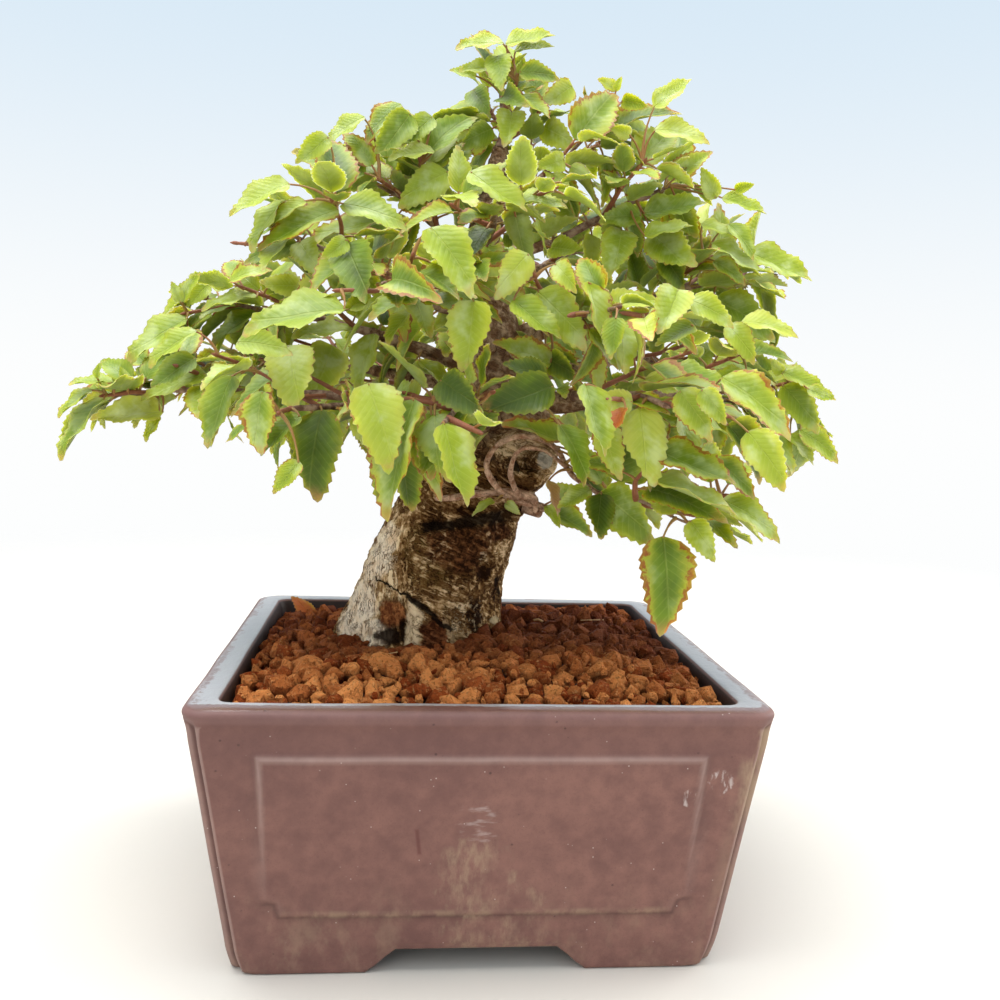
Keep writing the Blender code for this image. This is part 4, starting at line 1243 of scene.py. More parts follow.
# Pruned stubs: place, direction, length, radius and whether the wood is young
STUBS = [
    ((18, -3, 133.5), (0.35, -0.93, 0.12), 9, 2.9, 0),
    ((16, -6, 119), (0.75, -0.62, -0.22), 6, 1.5, 1),
    ((2, -5, 138), (-0.4, -0.85, 0.2), 6, 1.8, 0),
    ((-13, 3, 128), (-0.85, -0.5, 0.1), 5, 2.2, 0),
]


def limb_rings(path, sides, lumps=0.12):
    """Rings in millimetres along a path in metres, with swellings on it."""
    rows = np.asarray(path) * 1000
    across, rings = None, []
    for i, (x, y, z, radius) in enumerate(rows):
        ahead = heading(rows, i)
        across = square(across or (UP if abs(ahead.z) < 0.9 else Vector((1, 0, 0))), ahead)
        spot, ring = Vector((x, y, z)), []
        for _, way in spokes(across, ahead.cross(across), sides):
            swelling = 1 + lumps * 2 * noise.noise(spot * 0.22) + lumps * noise.noise((spot + way * radius) * 0.9)
            ring.append(spot + way * radius * swelling)
        rings.append(ring)
    return rings


def knot_rings():
    """The healed stub of a sawn branch: a thick callus round a hollow."""
    middle, aim = Vector((13, 4, 134)), Vector((0.25, -0.96, 0.05)).normalized()
    across = aim.cross(UP).normalized()
    rings = []
    for out, radius in np.vstack([smooth(KNOT_OUTSIDE, 7), smooth(KNOT_HOLLOW, 5)]):
        ring = []
        for angle, way in spokes(across, across.cross(aim), KNOT_SIDES):
            spot = middle + aim * out + way * radius
            fold = abs(math.sin(angle * 2.5 + radius * 0.3)) * 0.9 - 0.5
            ring.append(spot + way * (fold + bark_relief(spot, 1) * 0.55) * min(1, radius / 5))
        rings.append(ring)
    return rings


def pruned_stub(place, aim, length, radius):
    """A short stub with a flat, slightly ragged end."""
    start, way = Vector(place), Vector(aim).normalized()
    shares = ((0, 1.25), (0.5, 1.08), (0.8, 1.02), (0.94, 0.96), (1, 0.8), (1, 0.4))
    rows = [[*(start + way * length * share), radius * width] for share, width in shares]
    return limb_rings(np.array(rows) * MM, 14, 0.1)


def tree_body():
    """Everything in bark: its points, its faces, and for each point whether it is a young shoot."""
    shapes = [(trunk_rings(), 0), (knot_rings(), 0)]
    for name, (inner, _, _, _) in sprays.items():
        if inner is not None:
            count, low = (14 if inner[0, 3] > 2.4 * MM else 10), name == "low_shoot"
            slim = [1, 1, 1, SHOOT_SLIMMING if low else 1]
            shapes.append((limb_rings(smooth(inner * slim, 8), count), int(low)))
    shapes.append((limb_rings(smooth(np.array(LOOP_TWIG, float) * MM * [1, 1, 1, SHOOT_SLIMMING], 10), 10), 1))
    shapes.append((limb_rings(smooth(np.array(FLAT_SHOOT, float) * MM, 8), 12, 0.2), 1))
    shapes += [(pruned_stub(*stub), shoot) for *stub, shoot in STUBS]
    points, faces, young, first = [], [], [], 0
    for rings, shoot in shapes:
        more, cells = loft([np.array(ring) for ring in rings])
        points.append(more)
        young += [float(shoot)] * len(more)
        faces += [[first + i for i in cell] for cell in cells]
        first += len(more)
    return np.vstack(points), faces, young


print(f"{len(STUBS)} pruned stubs and one knot of {KNOT_SIDES} sides")

# %% [markdown]
# ## Bark colours
#
# Hornbeam bark is smooth and grey when young and cracks with age. This trunk is a warm brown, with cream left
# standing on it in strands that lean to the right. One number says how light the bark is at a place, and a row of
# five tones is laid along it; raised patches lift it as painted light and sunk ones lower it as painted shade.
# Patches change it where the tree has a bare brown face, a bleached root or a cream strip, the strip brightened
# further as a painted highlight. Seams are the deep cracks and the crease; they, the root gaps and the knot's hollow
# are painted near black as the shade in them.

# %% Bark masks
paint = Paint("hornbeam_bark", Specular_IOR_Level=0.06)
ragged = paint.grain(3, 4, 0.65)
crumbly = paint.grain(1.3, 4, 0.7, shift=23)


def fibres(turn, across, along, shift):
    """Noise drawn out into fibres, which turn leans to the right."""
    leaned = paint.flow("ShaderNodeVectorRotate", {"rotation_type": "Y_AXIS"}, {"Vector": paint.mm, "Angle": turn})
    drawn = paint.moved((1 / across, 1 / across, 1 / along), shift, leaned)
    made = {"Vector": drawn, "Scale": 1.0, "Detail": 4.0, "Roughness": 0.62, "Distortion": 0.25}
    return paint.flow("ShaderNodeTexNoise", None, made)


def patches(*rows):
    """1 inside ragged ellipsoids, each a middle and its half axes."""
    masks = []
    for middle, reach in rows:
        far = paint.vector("LENGTH", paint.vector("DIVIDE", paint.vector("SUBTRACT", paint.mm, middle), reach))
        masks.append((far + (ragged - 0.5) * 1.1).ramp(0.7, 1.1, 1, 0))
    return reduce(Flow.most, masks)


def seams(*rows):
    """1 along wandering lines on the front, each from one (x, z) to another and so wide."""
    masks = []
    for (x, z), end, width in rows:
        run = Vector(end) - Vector((x, z))
        across = ((paint.x - x) * run.y - (paint.z - z) * run.x) / run.length + (ragged - 0.5) * 3.2
        along = ((paint.x - x) * run.x + (paint.z - z) * run.y) / run.length_squared
        line = abs(across).ramp(width * 0.4, width, 1, 0) * along.ramp(-0.08, 0.06)
        masks.append(line * along.ramp(0.94, 1.08, 1, 0))
    return reduce(Flow.most, masks) * (paint.y * -1).ramp(-3, 1)


paint.report("bark, begun")

# %% Bark tones
high = (paint.z + (paint.grain(14, 2) - 0.5) * 14).ramp(128, 152)
rightness = (paint.x + (paint.grain(9, 2, shift=6) - 0.5) * 20).ramp(-24, -14)
strands = {"Factor": rightness, "A": fibres(0.15, 1.6, 8, 4), "B": fibres(1.15, 1.3, 8, 11)}
strands = paint.flow("ShaderNodeMix", None, strands)
slow = paint.grain(10, 4, 0.6, (1, 1, 0.7), 2)
cracks = abs(strands - 0.5).ramp(0.0, 0.035, 1, 0) * paint.grain(5, 3, shift=44).ramp(0.36, 0.56)
light = 0.47 + (slow - 0.5) * 1.1 + (strands - 0.5) * 1.7 + (crumbly - 0.5) * 0.8
lobe = patches(((-33, 2, 94), (14, 14, 18)), ((-27, 1, 106), (7, 9, 9)))
bare = patches(((-4, -8, 106), (12, 9, 8)), ((8, -5, 110.5), (8, 7, 3.4)))
SUNK = [((-2, -8, 101), (4.5, 4, 2.6)), ((5, -6, 97.5), (4, 4, 3)), ((1.5, -7, 84), (4, 4, 5))]
SUNK += [((9, 0, 90), (2, 5, 6)), ((2, -9, 118), (9, 6, 2.6))]
sunk = patches(*SUNK)
RAISED = [((4, -9, 200), (14, 14, 44)), ((3.5, -7, 102.3), (3, 4, 2.8)), ((9.6, -3, 104.5), (3.4, 6, 3.4))]
RAISED += [((-2.6, -8, 87.5), (2.4, 3, 2)), ((-5, -9, 81), (1.6, 3, 1.8)), ((12, -9, 139), (9, 9, 5))]
raised = patches(*RAISED, ((24, -9, 131), (6, 6, 6)))
# Painted light and shade: raised patches, the knot and the upper trunk among them, are made lighter as if lit, and
# sunk ones darker as if shaded
light = light + lobe * 0.28 + raised * 0.3 - sunk * 0.3 - cracks * 0.4
tones = ((44, 22, 6), (98, 66, 34), (144, 108, 68), (192, 156, 110), (242, 212, 168))
paint.colour = tones[0]
for low, step in zip((0.12, 0.34, 0.5, 0.66), tones[1:]):
    paint.lay(light.ramp(low, low + 0.2), step)
moss = patches(((-14, -8, 100), (8, 6, 8)), ((-19, -6, 107), (5, 6, 8))) * crumbly.ramp(0.4, 0.6)
paint.lay(moss * 0.26, (84, 74, 22))
brown = paint.mix((strands + crumbly).ramp(0.8, 1.25), (38, 17, 5), (128, 80, 46))
paint.lay(bare * light.ramp(0.6, 0.9, 0.95, 0.45), brown)
lichen = patches(((1, -8, 83), (9, 7, 7)))
paint.lay(lichen * crumbly.ramp(0.54, 0.62) * 0.85, (22, 13, 6))
paint.lay(lichen * crumbly.ramp(0.36, 0.44, 0.6, 0), (226, 200, 160))
bleached = patches(((-38, 4, 84), (13, 9, 12)), ((-30, 3, 104), (9, 8, 11)), ((-31, -4, 78), (7, 5, 5)))
white = paint.mix(paint.grain(5, 4, 0.6, shift=28).ramp(0.4, 0.7), (253, 233, 206), (238, 206, 168))
white = paint.mix(cracks.most(light.ramp(0.3, 0.5, 0.55, 0)), white, (126, 90, 62))
paint.lay(bleached * 0.9, white)
paint.report("bark, with its tones")

# %% Roots, crease and knot
wood_tone = paint.mix((strands + crumbly).ramp(0.8, 1.2), (96, 48, 24), (184, 118, 70))
heart = patches(((-25.4, -6, 84.4), (5.8, 4, 4.6)))
paint.lay(patches(((-25.2, -6, 84.2), (7, 5, 5.6))) * 0.8, (42, 22, 10))
paint.lay(heart, wood_tone)
buttress = patches(((-11.5, -10, 78.5), (5, 5, 7)))
paint.lay(buttress * 0.94, paint.mix((strands + crumbly).ramp(0.85, 1.3), (60, 24, 9), (134, 74, 40)))
# Painted shade: the gaps between the roots and the deep dents are painted near black
pits = patches(((-25.6, -7, 77.2), (6, 5, 2.7)), ((-21.4, -8, 79.5), (1.5, 4, 4.5)), ((10.8, 3.5, 91), (2.4, 4, 6)))
paint.lay(pits * 0.94, (24, 11, 4))
# The cream strip is pale bark on a root ridge, brightened further as a painted highlight
cream_strip_and_highlight = seams(((-18.2, 89), (-18.6, 72), 2.6)).most(patches(((-17.6, -9.5, 84.5), (3.2, 4, 2.8))))
cream = paint.mix(light.ramp(0.15, 0.42), (158, 118, 76), (244, 216, 174))
paint.lay(cream_strip_and_highlight * 0.95, cream)
ridge = seams(((-8.6, 83.6), (-5.4, 76), 1.0))
paint.lay(ridge * 0.7, (206, 172, 130))
# Painted shade: the cracks, the crease under the knot and the knot's hollow are painted near black
SEAMS = [((-16, 111.6), (-1, 114.4), 2.2), ((-4, 114.2), (16.5, 116.4), 2.9), ((-20.8, 91.4), (-11, 84.2), 1.2)]
SEAMS += [((-12.5, 84.8), (-6, 80), 1.0), ((-31, 95), (-20, 90.6), 0.45), ((8.2, 96), (10.4, 85), 1.1)]
deep = seams(*SEAMS).most(paint.near((12.3, -11.5, 133), 3.4, 2.2, 2))
paint.lay(deep * 0.95, (20, 10, 5))
limb = paint.mix(paint.grain(3.5, 4, 0.65, shift=33).ramp(0.4, 0.66), (120, 86, 62), (200, 168, 134))
limb = paint.mix(cracks * 0.5, limb, (62, 42, 32))
paint.lay(high * 0.85, limb)
shoot_tone = paint.mix(paint.grain(2.4, 4, 0.7).ramp(0.3, 0.7), (158, 106, 78), (238, 200, 168))
shoot_tone = paint.mix(crumbly.ramp(0.52, 0.66) * 0.6, shoot_tone, (92, 58, 42))
paint.lay(paint.stored("young_shoot") * 0.96, shoot_tone)
stub = paint.near((21.5, -11.8, 134.6), 3.4, 0.8, 1)
paint.lay(stub * 0.85, paint.mix(crumbly, (168, 160, 144), (222, 214, 198)))
paint.lay(patches(((8.6, 1, 81.4), (3, 4, 1.5))) * 0.8, (206, 184, 144))
height = slow * 0.5 + strands * 1.6 - cracks * 0.4 - deep * 0.8 + crumbly * 0.5 + heart * 0.3
bark = paint.done(Roughness=0.86 - bleached * 0.12, Height=height)

# %% Trunk
points, faces, young = tree_body()
trunk = add_piece("trunk_bark", points, faces, bark)
store(trunk.data, "young_shoot", young)
declare(trunk, "bark", "trunk")

# %% [markdown]
# ## One leaf
#
# A hornbeam leaf is an oval with a drawn-out tip, folded along its rib and arched downwards, and its edge is
# sawn twice: a large tooth at the end of each side vein and small ones between. It is repeated about a
# thousand times, so it has only six dozen faces: a row of quads beside the rib, and outside them a quad for
# each tooth. An upper and an under side meet in the sawn edge, which is marked sharp, so that each side is
# shaded on its own. A quad is split from its first corner to its third, so each begins at an inner corner:
# both sides are split alike and never cut through each other.

# %% Leaf shapes
LEAF_SPANS, LEAF_TEETH = 5, 4
LEAF_FOLDS, LEAF_ARCHES = (0.12, 0.32, 0.52, 0.8), (0.12, 0.3, 0.5, 0.72)
EDGE_COUNT = LEAF_SPANS * LEAF_TEETH
RIB_THICK, MIDDLE_THICK = 0.016, 0.014
LARGE_TOOTH, SMALL_TOOTH, NOTCH = 0.023, 0.015, -0.011


def leaf_width(x):
    return LEAF_HALF_WIDTH * math.sin(math.pi * clamp(x) ** 0.64) ** 0.78


def leaf_form(shape):
    """The fold and the arch of a shape."""
    return LEAF_FOLDS[shape % len(LEAF_FOLDS)], LEAF_ARCHES[shape // len(LEAF_FOLDS)]


def leaf_points(shape):
    """The rib, and for each half its middle row and its edge, as (x, y, z, nearness to the edge)."""
    rng = random.Random(LEAF_SEED + shape)
    fold, arch = leaf_form(shape)
    wave, phase, twist = rng.uniform(0.015, 0.04), rng.uniform(0, 6), rng.uniform(-0.45, 0.45)
    cup, sway = rng.uniform(-0.8, 0.5), rng.uniform(-0.12, 0.12)

    def lifted(x, y, share):
        ripple = wave * share * math.sin(x * 13 + phase + (1 if y > 0 else -1))
        rise = fold * abs(y) + cup * y * y + twist * y * x - arch * max(0, x) ** 2 + ripple
        return x, y + sway * x * x, rise, share

    rib = [lifted(k / LEAF_SPANS, 0, 0) for k in range(LEAF_SPANS + 1)]
    halves = []
    for side in (1, -1):
        spots = [k / LEAF_SPANS for k in range(1, LEAF_SPANS)]
        middle = [lifted(x + 0.02, side * leaf_width(x) * 0.52, 0.5) for x in spots]
        edge = []
        for i in range(1, EDGE_COUNT):
            x = i / EDGE_COUNT
            tooth = (LARGE_TOOTH if i % 4 == 1 else SMALL_TOOTH) if i % 2 else NOTCH
            room = min(1, leaf_width(x) / 0.12)
            edge.append(lifted(x + max(0, tooth) * 1.1, side * max(0.004, leaf_width(x) + tooth * room), 1))
        halves.append((middle, edge))
    return rib, halves


def half_faces(rib, middle, edge, turn):
    """Half of one side: the faces next to the rib, then those out to the teeth."""
    border = [rib[0], *edge, rib[-1]]
    faces = [(rib[0], rib[1], middle[0]), (rib[-2], rib[-1], middle[-1])]
    faces += [(rib[k], rib[k + 1], middle[k], middle[k - 1]) for k in range(1, LEAF_SPANS - 1)]
    for k in range(LEAF_SPANS):
        near, far = middle[max(0, k - 1)], middle[min(k, LEAF_SPANS - 2)]
        start, large, notch, small, end = border[k * LEAF_TEETH : (k + 1) * LEAF_TEETH + 1]
        faces += [(near, notch, large, start), (far, end, small, notch)]
        if near != far:
            faces.append((near, far, notch))
    return [(face[0], *face[:0:-1]) for face in faces] if turn else faces


def leaf_mesh(shape):
    rib, halves = leaf_points(shape)
    points, rows = list(rib), []
    for middle, edge in halves:
        first = len(points)
        points += middle + edge
        rows.append((list(range(first, first + len(middle))), list(range(first + len(middle), len(points)))))
    top_rib = list(range(len(rib)))
    low_rib = [0, *range(len(points), len(points) + len(rib) - 2), top_rib[-1]]
    points += [(x, y, z - RIB_THICK, share) for x, y, z, share in rib[1:-1]]
    faces, under = [], []
    for half, (middle, edge) in enumerate(rows):
        sunk = list(range(len(points), len(points) + len(middle)))
        points += [(x, y, z - MIDDLE_THICK, share) for x, y, z, share in (points[i] for i in middle)]
        upper = half_faces(top_rib, middle, edge, half == 1)
        lower = half_faces(low_rib, sunk, edge, half == 0)
        faces += upper + lower
        under += [0.0] * len(upper) + [1.0] * len(lower)
    mesh = new_mesh("leaf", [point[:3] for point in points], faces=faces)
    for name, column in (("leaf_x", 0), ("leaf_y", 1), ("leaf_margin", 3)):
        store(mesh, name, [point[column] for point in points])
    store(mesh, "leaf_under", under, domain="FACE")
    border = {0, top_rib[-1], *rows[0][1], *rows[1][1]}
    store(mesh, "sharp_edge", [border.issuperset(edge.vertices) for edge in mesh.edges], "BOOLEAN", "EDGE")
    return mesh


LEAF_SHAPES = len(LEAF_FOLDS) * len(LEAF_ARCHES)
leaf_shapes = shape_library("leaf", [leaf_mesh(shape) for shape in range(LEAF_SHAPES)])

# %% [markdown]
# ## From the picture to the tree and back
#
# The leaves in front give the crown its look. They are placed by their base and tip in the picture, in
# pixels, which needs the way from a pixel to a place and back. How far back a leaf hangs comes from the wood:
# it grows on the nearest twig that has its base in the right spot of the picture.

# %% Picture and place
PICTURE_SIZE, MIDDLE = 1000, 500
FOCAL_PIXELS = camera.data.lens / camera.data.sensor_width * PICTURE_SIZE
EYE = Vector(CAMERA_PLACE)
WOOD_STEP = 2 * MM


def to_picture(place):
    """Across, down and distance of a place."""
    away = Vector(place) - EYE
    far = away.dot(view)
    scale = FOCAL_PIXELS / far
    return MIDDLE + away.dot(picture_x) * scale, MIDDLE - away.dot(picture_y) * scale, far


def picture_rows(points):
    return np.array([to_picture(point) for point in points])


def from_picture(across, down, far):
    offset = picture_x * (across - MIDDLE) + picture_y * (MIDDLE - down)
    return EYE + (view + offset / FOCAL_PIXELS) * far


def wood_places():
    """Places along limbs and twigs, with the spray and the picture place of each."""
    found = []
    for name, (inner, outer, twigs, _) in sprays.items():
        for path in (outer, *twigs, *([] if inner is None else [inner])):
            count = max(2, int(path_length(path) / WOOD_STEP))
            for i in range(count + 1):
                spot = Vector(point_at(path, min(0.999, i / count))[0][:3])
                found.append((name, spot, *to_picture(spot)))
    return found


wood = wood_places()
wood_picture = np.array([row[2:] for row in wood])
print(f"{len(wood)} places on the wood")

# %% [markdown]
# ## The leaves that the photograph shows one by one
#
# Each row gives the base and the tip of a leaf in the picture, how wide it looks, how bright it is and how
# far its edge has turned, both in hundredths, and which fold it has. A brightness under 0 is a dead leaf. A
# leaf that looks narrow for its length is turned about its rib, with its upper side towards the sky. One that
# looks too wide is foreshortened, so its tip comes towards the eye.

# %% Leaves in front
SHOWN_LEAVES = [
    (551, 363, 490, 346, 28, 70, 75, 1), (546, 357, 581, 378, 27, 10, 10, 1), (546, 374, 501, 367, 24, 0, 10, 1),
    (104, 399, 57, 460, 14, 45, 30, 2), (163, 412, 88, 424, 29, 135, 30, 1), (160, 417, 143, 442, 11, 85, 30, 2),
    (92, 390, 56, 417, 9, 60, 50, 2), (112, 382, 68, 383, 9, 60, 20, 2), (97, 378, 101, 360, 7, 55, 20, 1),
    (128, 384, 118, 366, 12, 60, 20, 1), (195, 358, 152, 391, 26, 25, 10, 1), (187, 319, 124, 362, 23, 60, 25, 2),
    (196, 331, 146, 366, 17, 65, 20, 2), (257, 313, 209, 345, 16, 40, 30, 2), (205, 374, 141, 405, 25, 60, 10, 1),
    (232, 376, 212, 451, 32, 35, 35, 1), (262, 392, 255, 456, 34, 50, 75, 2), (300, 416, 262, 459, 20, 25, 20, 1),
    (322, 410, 309, 503, 50, 10, 30, 0), (299, 462, 275, 497, 22, 55, 50, 1), (288, 346, 302, 415, 50, 85, 30, 1),
    (333, 346, 306, 414, 46, 80, 30, 1), (238, 342, 296, 352, 28, 60, 10, 1), (345, 309, 240, 330, 30, 50, 15, 2),
    (353, 330, 290, 335, 16, 80, 20, 2), (300, 286, 258, 285, 26, 85, 15, 1), (230, 281, 274, 268, 15, 65, 80, 1),
    (182, 301, 200, 271, 14, 60, 35, 1), (180, 302, 169, 281, 13, 55, 10, 1), (208, 284, 188, 309, 18, 65, 10, 1),
    (257, 297, 200, 309, 11, 75, 15, 2), (375, 334, 354, 394, 24, 75, 25, 2), (368, 384, 397, 474, 54, 85, 35, 1),
    (414, 400, 394, 524, 46, 40, 60, 1), (444, 424, 461, 509, 38, 70, 30, 2), (452, 472, 491, 433, 15, 95, 40, 2),
    (419, 361, 461, 411, 15, 70, 20, 2), (474, 301, 467, 374, 42, 80, 35, 3), (452, 313, 430, 329, 14, 80, 30, 2),
    (431, 228, 478, 298, 42, 60, 20, 1), (528, 254, 490, 297, 34, 95, 45, 0), (513, 300, 558, 343, 28, 55, 20, 2),
    (538, 292, 592, 348, 44, 60, 30, 1), (588, 282, 602, 356, 24, 75, 60, 2), (556, 264, 580, 292, 24, 75, 70, 1),
    (441, 380, 487, 412, 40, 0, 5, 1), (553, 386, 482, 414, 44, 2, 5, 1), (580, 450, 500, 420, 18, 60, 85, 2),
    (585, 384, 600, 459, 30, 50, 20, 2), (560, 425, 588, 487, 26, 30, 10, 1), (632, 402, 587, 405, 26, 98, 25, 1),
    (640, 408, 647, 489, 46, 98, 15, 0), (601, 492, 661, 542, 50, 45, 25, 1), (601, 494, 596, 540, 42, 5, 30, 0),
    (590, 489, 558, 511, 20, 50, 10, 1), (546, 506, 562, 528, 13, 75, 20, 1), (655, 450, 735, 490, 34, 42, 70, 2),
    (652, 480, 738, 520, 18, 75, 50, 2), (722, 500, 783, 541, 28, 60, 50, 1), (691, 521, 719, 561, 30, 65, 20, 1),
    (663, 537, 668, 638, 56, 30, 85, 1), (680, 391, 717, 440, 36, 60, 60, 1), (702, 390, 730, 424, 26, 50, 40, 1),
    (722, 378, 795, 438, 38, 60, 70, 1), (783, 386, 823, 432, 34, 50, 35, 1), (800, 430, 841, 462, 24, 60, 60, 1),
    (748, 432, 790, 490, 40, 80, 40, 1), (714, 460, 758, 498, 26, 40, 80, 1), (748, 252, 811, 286, 26, 65, 30, 2),
    (714, 300, 779, 339, 36, 45, 20, 1), (742, 322, 800, 336, 18, 95, 20, 1), (728, 325, 758, 364, 26, 70, 40, 1),
    (678, 290, 661, 337, 42, 70, 40, 3), (690, 300, 737, 326, 26, 65, 20, 1), (694, 326, 656, 349, 20, 20, 10, 1),
    (616, 318, 614, 361, 24, 40, 20, 1), (622, 230, 612, 281, 34, 60, 30, 1), (652, 232, 692, 273, 40, 60, 35, 2),
    (664, 256, 688, 291, 26, 15, 10, 1), (641, 216, 597, 218, 22, 40, 10, 2), (644, 214, 710, 207, 24, 40, 10, 2),
    (644, 236, 696, 228, 15, 70, 20, 2), (655, 130, 712, 142, 20, 98, 30, 1), (654, 107, 695, 81, 20, 70, 20, 2),
    (616, 90, 598, 76, 12, 80, 70, 2), (616, 91, 621, 75, 9, 60, 30, 1), (503, 43, 453, 47, 13, 75, 60, 2),
    (506, 44, 557, 38, 15, 65, 40, 2), (515, 51, 556, 48, 9, 70, 30, 2), (497, 56, 506, 91, 28, 45, 20, 1),
    (491, 68, 457, 69, 12, 70, 30, 2), (476, 76, 448, 72, 12, 60, 20, 1), (473, 90, 494, 118, 26, 25, 10, 1),
    (400, 104, 362, 143, 20, 40, 80, 2), (364, 117, 325, 143, 15, 60, 30, 2), (328, 137, 297, 167, 24, 55, 30, 1),
    (410, 114, 378, 158, 32, 40, 10, 1), (432, 117, 402, 150, 24, 45, 10, 1), (434, 152, 386, 158, 13, 85, 10, 2),
    (448, 172, 394, 204, 34, 70, 10, 0), (470, 172, 524, 216, 28, 65, 20, 2), (289, 184, 230, 220, 22, 75, 15, 1),
    (284, 200, 248, 254, 14, 60, 30, 2), (305, 201, 270, 230, 14, 65, 60, 1), (338, 210, 259, 256, 30, 50, 75, 1),
    (395, 219, 304, 243, 20, 65, 60, 2), (343, 204, 411, 228, 28, 50, 10, 1), (346, 244, 372, 302, 42, 20, 5, 1),
    (300, 242, 322, 275, 28, 65, 20, 1), (346, 240, 322, 262, 20, 55, 10, 1), (512, 112, 507, 149, 28, 70, 30, 3),
    (544, 127, 580, 145, 30, 80, 30, 1), (572, 86, 541, 109, 24, 85, 60, 1), (520, 72, 562, 78, 20, 30, 50, 1),
    (607, 112, 583, 100, 18, 55, 40, 1), (622, 101, 650, 104, 18, 50, 60, 1), (630, 135, 610, 124, 18, 85, 40, 2),
    (564, 160, 535, 170, 22, 70, 10, 1), (716, 198, 698, 168, 20, 60, 15, 1), (735, 190, 755, 182, 13, 55, 20, 1),
    (722, 198, 767, 217, 14, 65, 30, 2), (702, 224, 735, 238, 12, 70, 20, 2), (729, 224, 756, 261, 16, 45, 10, 1),
    (714, 261, 748, 285, 18, 45, 60, 1), (712, 243, 761, 280, 16, 65, 10, 2), (783, 372, 826, 396, 18, 60, 40, 2),
    (808, 389, 836, 403, 15, 55, 40, 2), (782, 373, 768, 359, 14, 60, 20, 1), (790, 434, 812, 468, 14, 65, 20, 2),
    (747, 375, 707, 378, 14, 60, 20, 2), (494, 501, 472, 518, 9, 60, 10, 1), (506, 503, 522, 514, 11, 55, 10, 1),
    (626, 408, 604, 443, 14, -100, 50, 2), (548, 481, 556, 518, 12, -140, 50, 2),
]
# How far off a twig may be in pixels, what depth weighs as much, how far a leaf stands off its twig, and the
# steps towards the eye that give it room
TWIG_REACH, DEPTH_WEIGHT = 34, 45 * MM
STAND_OFF, STEPS_NEARER = 2.5 * MM, (0, 1.5, 3, 4.5, 6, 8, 10, 13)


def twig_for(across, down):
    """A place on the wood close to a spot of the picture, and in front where there is a choice."""
    off = np.hypot(wood_picture[:, 0] - across, wood_picture[:, 1] - down)
    near = np.flatnonzero(off < max(TWIG_REACH, off.min() + 4))
    score = off[near] / TWIG_REACH + (wood_picture[near, 2] - wood_picture[near, 2].min()) / DEPTH_WEIGHT
    return wood[near[score.argmin()]]


def shown_leaf(row, nearer=0.0):
    """A leaf in front, with its spray and the wood it hangs on."""
    base_x, base_y, tip_x, tip_y, width, _, _, fold = row
    name, foot, _, _, far = twig_for(base_x, base_y)
    far -= STAND_OFF + nearer
    base = from_picture(base_x, base_y, far)
    seen = math.hypot(tip_x - base_x, tip_y - base_y)
    full_width = 2 * LEAF_HALF_WIDTH * seen
    closer = 0.12 * seen
    if width > full_width:
        closer = math.sqrt(max(0, (width / 2 / LEAF_HALF_WIDTH) ** 2 - seen**2))
    tip = from_picture(tip_x, tip_y, far - min(closer, 0.6 * seen) / FOCAL_PIXELS * far)
    arch = 1 if fold in (0, 1) else 0
    shape = fold + len(LEAF_FOLDS) * arch
    aim = (tip - base).normalized()
    towards = (EYE - base).normalized()
    broad = square(towards, aim)
    side = aim.cross(broad)
    roll = math.acos(min(1, width / full_width))
    face = broad * math.cos(roll) + side * math.sin(roll) * (1 if side.z > 0 else -1)
    bend = math.atan(LEAF_ARCHES[arch])
    straight = aim * math.cos(bend) + face * math.sin(bend)
    face = face * math.cos(bend) - aim * math.sin(bend)
    length = (tip - base).length * math.cos(bend)
    return name, foot, (base - straight * STALK, straight, face, length, shape)


print(f"{len(SHOWN_LEAVES)} leaves placed by the picture")

# %% [markdown]
# ## Filling the crown
#
# Every leaf of the growth rules gets its place next, and short spurs add more. Real leaves push each other
# aside, and so do these: a leaf that would cut a neighbour turns and shrinks a little, up to six times, and
# is left out if it still finds no room. It has none either where the picture would show it outside the
# crown's outline or in front of a leaf that was placed before.

# %% Room for leaves
TRIES = 7
TWIG_SPURS, LIMB_SPURS, INNER_SPURS = 12 * MM, 8 * MM, 14 * MM
TOP_FROM, TOP_SPAN = 190 * MM, 60 * MM
CROWN_CORNERS = [
    450, 48, 462, 38, 482, 31, 505, 35, 530, 30, 560, 38, 558, 51, 530, 60, 564, 73, 578, 82, 597, 69, 624, 72, 627,
    94, 650, 84, 694, 76, 700, 90, 674, 106, 690, 114, 716, 142, 726, 159, 714, 168, 742, 172, 756, 178, 758, 196,
    770, 217, 758, 224, 764, 242, 788, 242, 815, 286, 800, 292, 786, 284, 786, 315, 805, 337, 792, 347, 797, 356, 818,
    366, 830, 398, 818, 400, 830, 430, 845, 464, 816, 473, 793, 495, 771, 490, 764, 504, 788, 544, 760, 546, 736, 553,
    722, 565, 702, 545, 690, 526, 658, 524, 664, 536, 702, 575, 692, 602, 668, 642, 656, 600, 638, 562, 652, 545, 622,
    545, 572, 540, 566, 514, 562, 531, 542, 512, 552, 482, 572, 470, 556, 436, 505, 426, 470, 444, 464, 513, 445, 507,
    428, 484, 407, 528, 391, 527, 378, 500, 370, 468, 346, 444, 338, 464, 310, 507, 288, 474, 275, 500, 260, 463, 254,
    460, 238, 442, 212, 455, 202, 420, 170, 414, 142, 446, 120, 434, 86, 444, 53, 464, 52, 415, 70, 388, 64, 374, 98,
    356, 122, 358, 144, 330, 150, 308, 166, 270, 200, 266, 225, 260, 230, 250, 246, 256, 250, 226, 226, 222, 238, 190,
    268, 174, 273, 154, 288, 138, 324, 131, 338, 116, 364, 103, 385, 92, 404, 97, 438, 110, 442, 84, 445, 69, 455, 60,
]
CROWN_OUTLINE = np.reshape(CROWN_CORNERS, (-1, 2))


